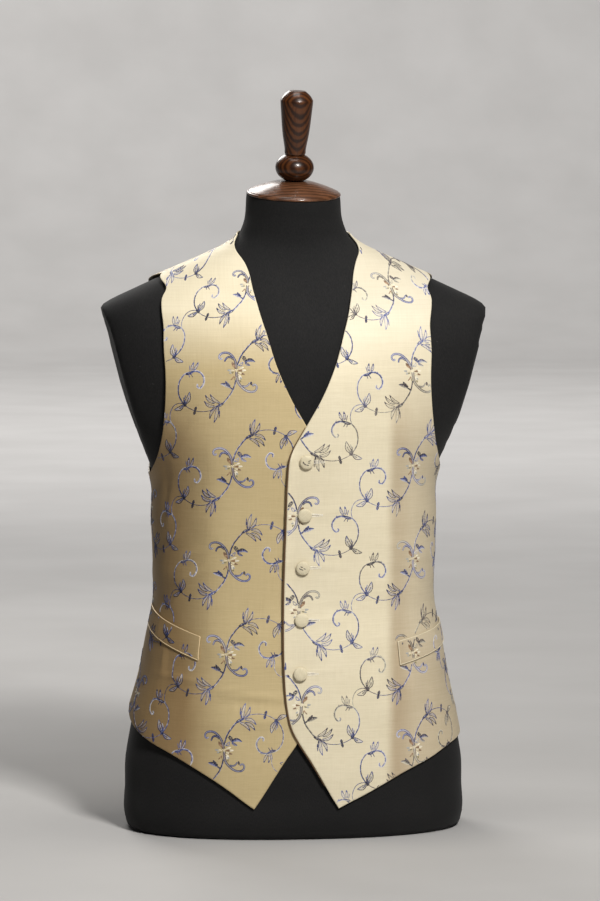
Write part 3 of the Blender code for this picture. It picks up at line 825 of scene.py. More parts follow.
# %% Small creases
# across and up from the closing line in mm, half length, half width, lift and turn
CREASES = (
    (-46, 162, 30, 4, 1.3, -3), (-82, 169, 22, 4, 1.0, 8), (-62, 154, 26, 5, -0.8, 0),
    (-74, 150, 9, 3, 0.8, 86), (-64, 149, 9, 3, 0.7, 90), (-54, 150, 9, 3, 0.8, 93),
    (-45, 151, 8, 3, 0.6, 90), (-36, 152, 8, 3, 0.5, 88), (-24, 196, 22, 5, 0.7, -6),
    (-140, 180, 30, 4, 1.4, -4), (-150, 192, 18, 5, -0.9, 18), (-166, 198, 16, 4, 1.2, 82),
    (-156, 190, 14, 4, -1.0, 86), (-118, 208, 14, 5, 0.7, 66), (-128, 150, 24, 6, 0.8, 62),
    (88, 172, 16, 6, 0.8, 86), (101, 170, 18, 6, -0.8, 90), (114, 168, 18, 6, 0.9, 95),
    (128, 172, 16, 6, -0.6, 92), (62, 156, 20, 7, 0.6, 12), (40, 128, 18, 7, 0.5, -14),
    (-20, 430, 16, 4, 0.6, 16), (24, 431, 20, 4, 0.6, -10), (28, 371, 22, 4, 0.5, 6),
    (-22, 369, 18, 4, 0.5, -8), (26, 310, 20, 4, 0.6, -7), (-24, 312, 18, 4, 0.6, 10),
    (28, 249, 22, 4, 0.5, 8), (-22, 246, 18, 4, 0.5, -10), (24, 190, 20, 4, 0.5, 5),
    (-138, 292, 26, 5, 1.4, 24), (-150, 268, 22, 5, 1.3, 30), (-128, 322, 24, 6, 1.0, 14),
    (-158, 338, 20, 5, 1.2, 40), (-164, 372, 20, 6, 1.1, 84), (-170, 404, 22, 6, -1.2, 88),
    (136, 300, 26, 5, 1.3, -22), (150, 276, 22, 5, 1.2, -30), (124, 330, 24, 6, 0.9, -12),
    (-128, 470, 26, 7, 0.8, 52), (-118, 500, 22, 8, 0.5, 62), (130, 474, 26, 7, 0.8, -50),
    (118, 504, 22, 8, 0.5, -60), (-98, 596, 24, 8, 0.6, 40), (100, 600, 24, 8, 0.6, -38),
    (-60, 400, 40, 16, 0.6, 76), (62, 392, 42, 18, 0.6, 100), (-176, 230, 18, 6, 0.6, 80),
    (176, 226, 18, 6, 0.6, 98), (168, 150, 14, 8, 0.8, 88), (-170, 152, 14, 8, 0.8, 92),
)
# across from the centre back seam, and height
BACK_CREASES = (
    (-52, 306, 40, 6, 1.0, 5), (-64, 288, 34, 6, 0.8, -6), (-48, 326, 30, 7, 0.7, 10),
    (56, 314, 38, 6, 1.0, -6), (70, 294, 34, 6, 0.8, 8), (46, 334, 30, 7, 0.6, -12),
    (-118, 280, 30, 6, 0.8, -18), (122, 286, 30, 6, 0.8, 16), (-104, 250, 26, 7, 0.6, -26),
    (108, 254, 26, 7, 0.6, 24), (-40, 520, 30, 9, 0.7, 78), (44, 528, 30, 9, 0.7, 101),
    (-96, 560, 26, 9, 0.8, 60), (98, 566, 26, 9, 0.8, -60), (-130, 440, 24, 7, 0.8, -48),
    (134, 446, 24, 7, 0.8, 48), (-30, 150, 18, 10, 0.6, 90), (34, 146, 18, 10, 0.6, 88),
    (-92, 152, 18, 9, 0.7, 96), (96, 150, 18, 9, 0.7, 84), (-22, 640, 24, 7, 0.5, 8),
    (26, 644, 24, 7, 0.5, -8),
)


def crease_lift(rows, across, up):
    """How far the small creases stand out: soft ridges and troughs."""
    total = np.zeros_like(across)
    for along, level, length, width, lift, turn in rows:
        aside, above = across - along * MM, up - level * MM
        run_at = aside * math.cos(turn * DEG) + above * math.sin(turn * DEG)
        over = above * math.cos(turn * DEG) - aside * math.sin(turn * DEG)
        soft = np.exp(-((run_at / (length * MM)) ** 2) - (over / (width * MM)) ** 2)
        total += lift * MM * soft
    return total


def cloth_wave(across, up):
    """The cloth's slight unevenness, under half a millimetre."""
    wave = np.sin(across * 61 + 2.1 * np.sin(up * 23)) * np.sin(up * 37 + 1.3)
    ripple = np.sin(across * 143 + up * 51 + 0.7) * np.sin(up * 97 - across * 31)
    return 0.22 * MM * wave + 0.10 * MM * ripple


def edge_lift(from_edge, height):
    """How far the outer front's free edge stands off, between its point and the top button."""
    near = 1 - ease_step(from_edge, 0, EDGE_CURL)
    along = ease_step(height, *EDGE_FREE_FROM) * (1 - ease_step(height, *EDGE_FREE_TO))
    return EDGE_STAND * near * along


EDGE_CURL = 9 * MM
EDGE_STAND = 2.4 * MM
EDGE_FREE_FROM = (120 * MM, 170 * MM)
EDGE_FREE_TO = (425 * MM, 470 * MM)
# Each front breaks along a dart, where it turns to the side: across at its foot and at its head,
# how far up both are, and how far it stands out
DARTS = {1: (105, 95, 120, 500, 2.4), -1: (-103, -110, 190, 475, 1.6)}
DART_OUTWARD = 34 * MM
DART_INWARD = 70 * MM
DART_SOFT = 2 * MM
DART_ENDS = (0.12, 0.85)  # it dies out beyond


def dart_lift(across, up, side):
    """How far a front stands out along its dart, steeper on the side's half."""
    foot, head, low, high, lift = DARTS[side]
    share = (up / MM - low) / (high - low)
    outward = (across - (foot + (head - foot) * share) * MM) * side
    reach = np.where(outward > 0, DART_OUTWARD, DART_INWARD)
    near = np.clip(1 - np.hypot(outward, DART_SOFT) / reach, 0, 1) ** 2
    along = ease_step(share, 0, DART_ENDS[0]) * (1 - ease_step(share, DART_ENDS[1], 1))
    return lift * MM * near * along


SLACK_EASE = (1.2 * MM, 2.6 * MM)  # cloth with less ease than this is too taut to crease
DEEPEST_TROUGH = -0.8 * MM


def draped(angle, height, thickness, side, over=0.0):
    """Points on the outside of the cloth with its small creases, or this far over it."""
    across, up = to_flat(angle, height)
    front = np.cos(angle) > 0
    behind = on_form(angle, height)[..., 0]
    small = np.where(front, crease_lift(CREASES, across, up) + dart_lift(across, up, side), 0)
    small = small + np.where(front, 0, crease_lift(BACK_CREASES, behind, height))
    fade = ease_step(ease_at(height), *SLACK_EASE)
    small = np.maximum(small * fade, DEEPEST_TROUGH) + cloth_wave(across, up) * fade
    if side > 0:
        from_edge = across + LAP
        small = small + np.where(front, edge_lift(from_edge, height), 0)
    return on_cloth(angle, height, thickness, side, over + small)


# Painted shade on each front's flank, where it turns from the light: from where to where beyond its
# dart it darkens, how much, and what share of that shade fades again further round
FLANK_SHADE_SPANS = {1: (-6, 10, 0.60, 0.35), -1: (-30, 60, 1.0, 0.0)}
FLANK_SHADE_FADES_AT = 38
# how much deeper the painted flank shade is near the hip
FLANK_SHADE_AT_HIP = 0.35  # how much more it turns there
HIP_ENDS = (170 * MM, 270 * MM)
CHEST_BEGINS = (440 * MM, 540 * MM)


def painted_flank_shade(angle, across, up):
    """How much painted shade falls on the flanks at these places, from 0 to 1."""
    total = np.zeros_like(across)
    for side, (begin, end, amount, regained) in FLANK_SHADE_SPANS.items():
        foot, head, low, high, _ = DARTS[side]
        line = foot + (head - foot) * np.clip((up / MM - low) / (high - low), 0, 1)
        outward = (across / MM - line) * side
        turned = ease_step(outward, begin, end) * amount
        turned = turned * (1 - regained * ease_step(outward, end, FLANK_SHADE_FADES_AT))
        turned = turned * (1 + FLANK_SHADE_AT_HIP * (1 - ease_step(up, *HIP_ENDS)))
        turned = turned * (1 - ease_step(up, *CHEST_BEGINS))
        total += np.where((np.cos(angle) > 0) & (angle * side > 0), turned, 0)
    return np.clip(total, 0, 1)


# %% Build a slab of cloth
def write_attribute(mesh, name, kind, values):
    """Stores one value per vertex."""
    store = mesh.attributes.new(name, kind, "POINT")
    key = "color" if kind == "FLOAT_COLOR" else "vector"
    store.data.foreach_set(key, np.asarray(values, dtype=np.float32).ravel())


def place_piece(obj, slot, *nodes):
    """Hangs a finished piece on the model instead of its solids; slot is not used."""
    bpy.context.scene.collection.objects.link(obj)
    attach(obj, "root")
    if nodes:
        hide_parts(*nodes)
    return obj


def slab_faces(columns, rows):
    """Quads of two stacked grids and the wall round them, and which are the inner ones."""
    index = np.arange(columns * rows * 2).reshape(2, rows, columns)
    quads, inner = [], []
    for layer in (1, 0):
        grid = index[layer]
        cells = np.stack([grid[:-1, :-1], grid[:-1, 1:], grid[1:, 1:], grid[1:, :-1]], -1)
        cells = cells.reshape(-1, 4)
        quads.append(cells if layer else cells[:, ::-1])
        inner.append(np.full(len(cells), 1 - layer))
    for low, high in (
        (index[0, 0], index[1, 0]),
        (index[0, :, -1], index[1, :, -1]),
        (index[0, -1, ::-1], index[1, -1, ::-1]),
        (index[0, ::-1, 0], index[1, ::-1, 0]),
    ):
        cells = np.stack([low[:-1], low[1:], high[1:], high[:-1]], -1)
        quads.append(cells)
        inner.append(np.zeros(len(cells), dtype=int))
    return np.concatenate(quads), np.concatenate(inner)


def crowd_edges(count, edge, length):
    """Shares from 0 to 1 with a few close to each end, so that an edge can roll over."""
    close = np.array([0.0, 0.25, 0.7, 1.3]) * edge / length
    middle = np.linspace(2.2 * edge / length, 1 - 2.2 * edge / length, count)
    return np.concatenate([close, middle, 1 - close[::-1]])


EDGE_ROLL = 1.4 * MM
ROLL_SHARE = 0.42  # of the thickness, that an edge loses on each face


def cloth_slab(name, place, side, columns, rows, thickness, size, outside, inside, over=0.0):
    """A piece of cloth as a thin closed slab with rolled edges, and its flat coordinates."""
    sideways = crowd_edges(columns, EDGE_ROLL, size[0])
    upward = crowd_edges(rows, EDGE_ROLL, size[1])
    u, v = (grid.ravel() for grid in np.meshgrid(sideways, upward))
    angle, height = place(side, u, v)
    reach = np.minimum(
        np.minimum(u, 1 - u) * size[0],
        np.minimum(v, 1 - v) * size[1],
    )
    round_off = 1 - np.sqrt(1 - (1 - np.clip(reach / EDGE_ROLL, 0, 1)) ** 2)
    rounded = ROLL_SHARE * thickness * round_off
    top = draped(angle, height, thickness - rounded, side, over)
    low = draped(angle, height, rounded, side, over)
    quads, inner = slab_faces(len(sideways), len(upward))
    mesh = bpy.data.meshes.new(name)
    points = np.concatenate([low, top])
    mesh.from_pydata(points.tolist(), [], quads.tolist())
    across, up = to_flat(angle, height)
    # The cut attribute's Z carries the painted flank shade
    flat = np.stack([across, up, painted_flank_shade(angle, across, up)], -1)
    write_attribute(mesh, "cut", "FLOAT_VECTOR", np.concatenate([flat, flat]))
    mesh.materials.append(outside)
    mesh.materials.append(inside)
    mesh.polygons.foreach_set("material_index", inner.astype(np.int32))
    mesh.shade_smooth()
    mesh.update()
    return bpy.data.objects.new(name, mesh)


# %% Fronts, backs and pocket welts
SIDES = ((1, "left"), (-1, "right"))  # the wearer's left is at +X
FRONT_SIZE = (0.19, 0.60)
BACK_SIZE = (0.17, 0.57)
WELT_SIZE = (0.105, 0.026)
for side, word in SIDES:
    front = cloth_slab(
        "silk_front_" + word, front_place, side, 90, 230, CLOTH, FRONT_SIZE,
        silk if side > 0 else painted_shade_silk, lining,
    )
    place_piece(front, "embroidered_silk", "front_" + word)
    back = cloth_slab(
        "satin_back_" + word, back_place, side, 60, 120, BACK_CLOTH, BACK_SIZE, satin, lining
    )
    place_piece(back, "gold_satin", "back_" + word)
    welt = cloth_slab(
        "silk_welt_" + word, welt_place, side, 60, 14, WELT_CLOTH, WELT_SIZE,
        silk if side > 0 else painted_shade_silk, lining, CLOTH + SEAM,
    )
    place_piece(welt, "embroidered_silk", "pocket_welt_" + word)
    print(word, [len(obj.data.polygons) for obj in (front, back, welt)], "faces")

# %% [markdown]
# ## The embroidery
# The fronts are worked with a scrolling spray that repeats: a small eight-petalled flower
# in tan and cream, and from it a stem each way to a fan of narrow leaves, on to a tiny bud
# and down to a curling tendril. Turned half round, the spray is the same, so the chart
# holds only half of it. Sprays stand in columns, each column dropped by half a repeat and
# mirrored, and short stems join them. Every stitch here is a small ridge of thread with
# its own colour, because a flat picture of embroidery has no relief in raking light.

# %% The chart
# In millimetres on the flat cloth, from the middle of a spray
REPEAT = 107 * MM
COLUMN_STEP = 136 * MM
# A stem's or scroll's width, its tone at its start and end, and its points
HALF_STEMS = (
    (1.7, 0.12, 0.35, ((0.7, 8.5), (1.6, 13.7), (3.2, 18.1), (5.0, 22.0), (8.6, 27.0),
                       (12.7, 32.2), (17.1, 35.7), (19.7, 37.3))),
    (1.1, 0.35, 0.25, ((19.7, 37.3), (24.7, 40.7), (30.7, 42.6), (38.6, 43.3), (46.5, 42.3),
                       (55.1, 38.8), (59.4, 35.7))),
    (1.5, 0.1, 0.5, ((59.4, 35.7), (62.7, 31.6), (66.1, 25.7), (67.4, 18.5), (66.6, 11.3),
                     (64.2, 6.4), (59.9, 1.9), (53.2, -0.1))),
    (2.1, 0.25, 0.7, ((53.2, -0.1), (47.4, -1.1), (41.6, 0.9), (38.2, 5.4), (37.4, 10.5),
                       (39.2, 14.6), (42.0, 17.1), (45.0, 15.6), (44.3, 13.0))),
)
SCROLLS = (
    (3.4, 0.0, 0.55, ((-0.6, 4.0), (-2.1, 10.8), (-4.3, 15.1), (-6.9, 18.4), (-10.2, 21.2),
                      (-14.2, 22.7), (-18.6, 22.5), (-21.9, 20.7), (-22.8, 17.5),
                      (-21.0, 14.9), (-18.9, 16.3))),
    (2.8, 0.0, 0.2, ((-5.6, 15.2), (-7.9, 17.2), (-11.3, 17.8), (-13.9, 16.3), (-15.3, 12.7))),
    (3.4, 0.1, 0.5, ((0.4, 0.6), (0.9, -5.4), (1.9, -9.6), (3.9, -13.0), (7.2, -16.3),
                     (11.3, -19.4), (15.7, -21.1), (21.1, -20.9), (24.0, -18.0),
                     (23.7, -14.5), (21.1, -13.0), (19.3, -14.9))),
    (2.0, 0.3, 0.5, ((7.4, -15.0), (11.3, -15.4), (14.4, -13.7), (15.7, -11.4))),
)
MIDDLE_STEMS = (
    (1.3, 0.05, 0.15, ((4.6, 17.1), (6.4, 14.6), (8.8, 12.2))),
    (1.8, 0.0, 0.1, ((-2.6, -18.4), (-4.4, -17.8), (-6.6, -16.2))),
)
LINKS = (
    (1.2, 0.15, 0.55, ((-59.4, -35.7), (-64.5, -34.1), (-71.3, -36.2), (-75.5, -41.8),
                       (-77.0, -49.2), (-75.5, -55.5))),
    (1.1, 0.7, 0.5, ((53.2, -0.1), (55.1, -5.1), (55.1, -10.2), (56.5, -15.8), (60.9, -21.0),
                     (66.6, -22.0), (71.6, -18.3))),
)
# dark and pale are tones at its left and right edge for a solid leaf, else at base and tip
HALF_LEAVES = (
    (19.2, 37.6, 95, 13, 2.0, 0.6, "feather", 0.05, 0.45),
    (20.4, 38.0, 80, 17.5, 3.6, 0.8, "leaflet", 0.3, 1.0),
    (22.0, 38.2, 62, 14.5, 3.4, -1.6, "leaflet", 0.15, 0.95),
    (24.0, 38.4, 50, 7.5, 2.0, -0.8, "feather", 0.2, 0.9),
    (22.7, 37.3, -23, 14.5, 3.4, 2.4, "leaflet", 0.15, 0.9),
    (22.7, 33.8, -35, 15, 3.4, 2.0, "leaflet", 0.0, 0.85),
    (17.2, 33.8, -38, 15.5, 3.2, 1.8, "leaflet", 0.05, 0.9),
    (13.0, 33.4, 26, 11, 3.4, 0.4, "solid", 0.0, 0.3),
    (46.3, 42.4, 76, 4.6, 3.0, 0, "solid", 0.0, 0.15),
    (46.3, 42.2, -104, 4.6, 3.0, 0, "solid", 0.0, 0.2),
    (60.2, 36.6, 24, 12, 4.6, 1.2, "outlined", 0.0, 0.9),
    (59.6, 37.2, 50, 7.5, 2.2, 0.6, "feather", 0.05, 0.6),
    (59.4, 35.2, -113, 14.5, 5.4, -1.6, "outlined", 0.0, 0.9),
    (59.6, 35.2, -96, 10.5, 2.4, 0.6, "feather", 0.1, 0.9),
    (59.8, 35.2, -80, 8, 2.2, 1.0, "feather", 0.2, 0.9),
    (58.5, 38.0, -80, 5.4, 4.6, 0, "solid", 0.0, 0.2),
    (60.0, 2.2, 200, 11.5, 3.4, -0.8, "solid", 0.0, 0.3),
    (54.2, 0.4, 124, 6.5, 2.4, -0.8, "feather", 0.0, 0.4),
    (56.0, 1.1, 108, 5, 2.2, 0.5, "feather", 0.1, 0.5),
    (50.3, -1.8, -112, 10.5, 2.8, -0.6, "leaflet", 0.2, 1.0),
    (52.4, -1.8, -94, 10, 2.8, 0.5, "leaflet", 0.25, 1.0),
    (54.4, -1.2, -76, 7, 2.0, 0.5, "feather", 0.3, 0.9),
    (41.0, 2.0, -62, 4.5, 1.8, 0, "feather", 0.5, 0.95),
)
MIDDLE_LEAVES = (
    (5.2, 18.8, -52, 8.0, 2.8, 0.6, "solid", 0.0, 0.1),
    (8.2, 11.6, 2, 12.4, 4.2, 2.6, "solid", 0.0, 0.8),
    (8.8, 11.4, -30, 7.4, 2.6, -0.4, "solid", 0.3, 0.7),
    (-6.4, -16.4, 162, 12.0, 4.2, -1.0, "solid", 0.8, 0.0),
    (-6.2, -15.8, 134, 8.8, 3.2, 0.6, "solid", 0.0, 0.2),
    (1.2, 8.2, 34, 6.4, 3.0, -1.6, "outlined", 0.6, 1.0),
    (18.0, -14.0, 100, 4.0, 2.2, 0, "solid", 0.05, 0.2),
)
PETALS = (
    (-0.9, 4.8, 128, 9.6, 4.6, 0.5, "tan", "brown"),
    (-1.0, 4.2, 142, 7.6, 2.6, -0.8, "brown", "tan"),
    (-1.8, 1.9, 176, 9.4, 3.4, 0.4, "cream", "grey"),
    (-2.4, 0.2, 192, 6.6, 2.2, 0, "olive", "grey"),
    (-2.6, -3.6, -128, 6.6, 1.3, 0.6, "tan", "brown"),
    (-2.4, -3.8, -72, 5.8, 1.3, -0.6, "brown", "olive"),
    (1.6, 2.8, 24, 7.8, 2.8, 0.4, "cream", "white"),
    (1.8, 1.6, 4, 10.4, 3.0, 0, "brown", "white"),
    (2.0, 0.2, -16, 9.0, 2.8, -0.3, "cream", "brown"),
    (1.6, -1.6, -40, 6.4, 2.2, 0, "cream", "white"),
    (2.2, -4.4, -30, 5.8, 2.4, 0, "white", "grey"),
    (2.8, -5.4, -58, 6.4, 2.2, 0, "white", "olive"),
    (0.6, 6.4, 62, 4.2, 2.0, 0, "grey", "white"),
)
FLOWER_EYE = ((0, 1.6), (1.0, 2.8), (-1.2, 2.6), (0.3, 0.2))

# %% Thread colours
BLUE_THREADS = (
    (0.0, (0.008, 0.010, 0.035)),
    (0.2, (0.020, 0.028, 0.120)),
    (0.42, (0.075, 0.100, 0.290)),
    (0.65, (0.220, 0.240, 0.430)),
    (0.85, (0.460, 0.460, 0.560)),
    (1.0, (0.700, 0.670, 0.670)),
)
EARTH_THREADS = (
    (0.0, (0.030, 0.022, 0.028)),
    (0.25, (0.085, 0.062, 0.060)),
    (0.5, (0.200, 0.175, 0.130)),
    (0.75, (0.400, 0.370, 0.270)),
    (1.0, (0.660, 0.620, 0.490)),
)
FLOWER_THREADS = {
    "tan": (0.430, 0.270, 0.150),
    "brown": (0.240, 0.140, 0.075),
    "cream": (0.760, 0.660, 0.460),
    "white": (0.840, 0.770, 0.610),
    "grey": (0.420, 0.415, 0.385),
    "olive": (0.270, 0.235, 0.120),
}
BUTTONHOLE_THREAD = (0.900, 0.850, 0.740)


def thread_colour(ramp_rows, tone):
    """A colour from a table of tones."""
    places = [row[0] for row in ramp_rows]
    return np.array([np.interp(tone, places, [row[1][i] for row in ramp_rows]) for i in range(3)])


def variegated(place, tone, rng):
    """Variegated thread: it runs from dark to pale and from blue to earth along its length."""
    across, up = place
    drift = math.sin(across * 47 + up * 83 + 1.7 * math.sin(up * 29))
    left = ease_step(across, -LAP, 10 * MM)
    earth = (0.3 + 0.6 * left) * ease_step(math.sin(across * 31 - up * 43 + 0.6), 0.0, 0.9)
    shade = min(max(tone + 0.08 * left + 0.18 * drift + rng.normal(0, 0.06), 0), 1)
    blue, brown = thread_colour(BLUE_THREADS, shade), thread_colour(EARTH_THREADS, shade)
    return blue * (1 - earth) + brown * earth


# %% Drawing with stitches
class Needle:
    """Collects stitches on the flat cloth: two ends, a width, a height and a colour each."""

    def __init__(self, seed):
        self.rows = []
        self.rng = np.random.default_rng(seed)

    def stitch(self, start, end, width, colour, height=0.45 * MM):
        self.rows.append((*start, *end, width, height, *colour))

    def shaded(self, start, end, width, tone):
        self.stitch(start, end, width, variegated(start, tone, self.rng))


def even_path(points, step):
    """Evenly spaced points on a smooth curve through the points."""
    points = np.array(points, dtype=float)
    knots = np.arange(len(points), dtype=float)
    fine = np.linspace(0, knots[-1], 30 * len(points))
    line = np.stack([smooth(knots, points[:, i], fine) for i in (0, 1)], -1)
    length = np.concatenate([[0], np.cumsum(np.linalg.norm(np.diff(line, axis=0), axis=1))])
    count = max(int(round(length[-1] / step)), 2)
    at = np.linspace(0, length[-1], count + 1)
    return np.stack([np.interp(at, length, line[:, i]) for i in (0, 1)], -1)


# The columns of sprays draw together towards the shoulder. Each row has a height in the
# chart, the height on the cloth, where one column runs there, and how far apart they are
GRAIN = {
    -1: ((-60, -60, -87, 134), (102, 102, -84, 134), (209, 209, -83.6, 134),
         (316, 316, -82.5, 136), (423, 423, -82.8, 136), (530, 530, -78.5, 131),
         (637, 631, -62, 112), (744, 726, -44, 94)),
    1: ((-60, -60, 141, 134), (100, 100, 138, 134), (207, 206, 134.5, 134),
        (314, 314, 134, 140), (421, 421, 131, 141), (528, 528, 123, 133),
        (635, 627, 102, 112), (742, 722, 82, 94)),
}
FIRST_UP = {-1: 421 * MM, 1: 419 * MM}  # of one spray that isn't mirrored


def chart_to_cloth(points, spray, turned):
    """Chart places of one spray, put on the flat cloth in metres."""
    side, across, up, mirror = spray
    points = np.array(points, dtype=float) * (-MM if turned else MM)
    charted = up + points[..., 1]
    grain = np.array(GRAIN[side]) * MM
    column = np.interp(charted, grain[:, 0], grain[:, 2])
    tighter = np.interp(charted, grain[:, 0], grain[:, 3]) / COLUMN_STEP
    real_up = np.interp(charted, grain[:, 0], grain[:, 1])
    return np.stack([column + (across + mirror * points[..., 0]) * tighter, real_up], -1)


# %% Stems, leaves and petals
def work_stem(needle, row, spray, turned):
    """Stem stitch: short stitches, each beside the one before, dark and less dark in turn."""
    width, tone_from, tone_to, points = row
    line = chart_to_cloth(even_path(points, 2.2), spray, turned)
    count = len(line) - 1
    for i in range(count):
        step = line[i + 1] - line[i]
        step = step / np.linalg.norm(step)
        aside = np.array((-step[1], step[0])) * width * 0.24 * MM
        tone = tone_from + (tone_to - tone_from) * i / count + (0.22 if i % 3 == 2 else -0.04)
        start, end = line[i] - step * 0.5 * MM, line[i + 1] + step * 0.5 * MM
        needle.shaded(start - aside, end + aside, width * 0.72 * MM, tone)
        if width > 1.3:
            needle.shaded(start + aside * 1.5, end + aside * 2.2, width * 0.45 * MM, tone + 0.45)


def work_scroll(needle, row, spray):
    """A scroll: a pale row between two darker ones, drawn in towards its curled end."""
    width, tone_from, tone_to, points = row
    line = chart_to_cloth(even_path(points, 2.0), spray, False)
    count = len(line) - 1
    for i in range(count):
        step = line[i + 1] - line[i]
        step = step / np.linalg.norm(step)
        share = i / count
        aside = np.array((-step[1], step[0])) * 0.5 * width * MM * (1 - 0.55 * share)
        tone = tone_from + (tone_to - tone_from) * share
        start, end = line[i] - step * 0.5 * MM, line[i + 1] + step * 0.5 * MM
        needle.shaded(start, end, 0.9 * MM, tone + 0.5)
        for way, darker in ((0.72, 0.0), (-0.72, 0.12)):
            needle.shaded(start + aside * way, end + aside * way, 0.9 * MM, tone + darker)


def leaf_line(row, share, shift):
    """A place on a leaf, in the chart: share along it, and shift from -1 to 1 across it."""
    x, y, direction, length, width, bend = row[:6]
    way = np.array((math.cos(direction * DEG), math.sin(direction * DEG)))
    left = np.array((-way[1], way[0]))
    half = 0.5 * width * math.sin(math.pi * min(max(share, 0.0), 1.0) ** 0.8) ** 0.7
    aside = bend * 4 * share * (1 - share) + shift * half
    return np.array((x, y)) + way * length * share + left * aside


def work_row(needle, row, spray, turned, shift, shares, width, tones):
    """One row of stitches along a leaf, with a tone for each end of the row."""
    for k, (first, last) in enumerate(zip(shares, shares[1:])):
        wander = 0.03 * (needle.rng.random() - 0.5)
        places = [leaf_line(row, share + wander, shift) for share in (first, last + 0.05)]
        start, end = chart_to_cloth(places, spray, turned)
        tone = np.interp((first + last) / 2, (0, 1), tones)
        needle.shaded(start, end, width, tone)


def work_leaf(needle, row, spray, turned):
    """A leaf of one of four kinds."""
    length, width, kind, dark, pale = row[3], row[4], row[6], row[7], row[8]
    spans = np.linspace(0.0, 0.97, max(int(length / 4.2), 1) + 1)
    fine = np.linspace(0.03, 0.98, max(int(length / 2.6), 3) + 1)
    if kind == "solid":
        spans = np.linspace(0.03, 0.97, max(int(length / 3), 3) + 1)
        lines = max(int(round(width / 0.8)), 3)
        for j in range(lines):
            tone = dark + (pale - dark) * j / (lines - 1)
            shift = 0.88 * (1 - 2 * j / (lines - 1))
            work_row(needle, row, spray, turned, shift, spans, 0.95 * MM, (tone - 0.1, tone + 0.1))
        return
    if kind == "feather":
        work_row(needle, row, spray, turned, 0.0, spans, 1.0 * MM, (dark, 0.45 * pale))
        work_row(needle, row, spray, turned, 0.75, spans[1:], 0.8 * MM, (dark + 0.3, pale))
        work_row(needle, row, spray, turned, -0.75, spans[:-1], 0.8 * MM, (dark + 0.2, pale))
        return
    if kind == "leaflet":
        work_row(needle, row, spray, turned, 0.1, fine[:-1], 0.8 * MM, (pale - 0.3, pale - 0.1))
        for shift, darker in ((1.0, 0.0), (-1.0, 0.2)):
            work_row(
                needle, row, spray, turned, shift, fine, 0.8 * MM, (dark, dark + darker + 0.1)
            )
        work_row(needle, row, spray, turned, 0.0, fine[-2:], 0.9 * MM, (dark, dark))
        return
    for shift in (0.5, -0.5):
        work_row(needle, row, spray, turned, shift, spans, 0.8 * MM, (pale - 0.3, pale))
    work_row(needle, row, spray, turned, 0.0, fine[: len(fine) * 2 // 3], 0.8 * MM, (dark, 0.3))
    for shift in (1.0, -1.0):
        work_row(needle, row, spray, turned, shift, fine, 0.95 * MM, (dark, dark + 0.15))


def work_petal(needle, row, spray):
    """Satin stitches that fan out from the flower's eye, in two rows of their own colour."""
    inner, outer = (np.array(FLOWER_THREADS[word]) for word in row[6:8])
    lines = max(int(round(row[4] / 0.85)), 1)
    for j in range(lines):
        shift = 0.9 * (1 - 2 * (j + 0.5) / lines)
        for colour, first, last in ((inner, 0.0, 0.56), (outer, 0.44, 0.97)):
            places = [leaf_line(row, share, shift) for share in (first, last - 0.08 * abs(shift))]
            start, end = chart_to_cloth(places, spray, False)
            needle.stitch(start, end, 0.9 * MM, colour * (0.86 + 0.28 * needle.rng.random()))


def work_spray(needle, spray):
    """One spray: what turns half round first, then its flower and what lies about it."""
    for turned in (False, True):
        for row in HALF_STEMS:
            work_stem(needle, row, spray, turned)
        for row in HALF_LEAVES:
            work_leaf(needle, row, spray, turned)
    for row in MIDDLE_STEMS + (LINKS if spray[3] > 0 else ()):
        work_stem(needle, row, spray, False)
    for row in SCROLLS:
        work_scroll(needle, row, spray)
    for row in MIDDLE_LEAVES:
        work_leaf(needle, row, spray, False)
    for row in PETALS:
        work_petal(needle, row, spray)
    white = np.array(FLOWER_THREADS["white"])
    for place in FLOWER_EYE:
        middle = chart_to_cloth(place, spray, False)
        aside = np.array((0.6 * MM, 0))
        needle.stitch(middle - aside, middle + aside, 1.2 * MM, white, 0.8 * MM)


# %% Sprays over both fronts
SPRAY_REACH = (-0.12, 0.36)  # where columns can touch a front, outwards from the buttons


def sprays_on(side):
    """Every spray that could reach this front: its side, across, up and mirroring."""
    found = []
    for i in range(-3, 4):
        outward = side * (i * COLUMN_STEP + GRAIN[side][3][2] * MM)
        if not SPRAY_REACH[0] <= outward < SPRAY_REACH[1]:
            continue
        mirror = (-1) ** abs(i)
        drop = 0 if mirror > 0 else REPEAT / 2
        for k in range(-4, 4):
            found.append((side, i * COLUMN_STEP, FIRST_UP[side] + drop + k * REPEAT, mirror))
    return found


needles = {}
for side, word in SIDES:
    needle = Needle(11 if side > 0 else 23)
    for spray in sprays_on(side):
        work_spray(needle, spray)
    needles[side] = needle
    print(word, "front:", len(needle.rows), "stitches before trimming")

# %% [markdown]
# ## Laying the stitches
# Each stitch becomes a low ridge with eight faces, pointed at both ends. All of a front's
# stitches go to the body in one step, which is far quicker than one object each. A
# stitch that would pass an edge is dropped, as the tailor's shears would cut it off, and
# one that meets a pocket welt goes on the welt, so the pattern runs on over it.


# %% Trim and build
def outline_of(borders):
    """The outline of a panel as angle and height."""
    share = np.linspace(0, 1, 160)
    bottom, top, left, right = borders
    return np.concatenate([
        border(bottom, share), border(right, share), border(top, share)[::-1],
        border(left, share)[::-1],
    ])


def inside(outline, points):
    """Which points are inside the closed outline."""
    x, y = points[:, 0], points[:, 1]
    found = np.zeros(len(points), dtype=bool)
    for (x0, y0), (x1, y1) in zip(outline, np.roll(outline, -1, axis=0)):
        if y0 == y1:
            continue
        crosses = (y0 > y) != (y1 > y)
        found ^= crosses & (x < x0 + (y - y0) / (y1 - y0) * (x1 - x0))
    return found


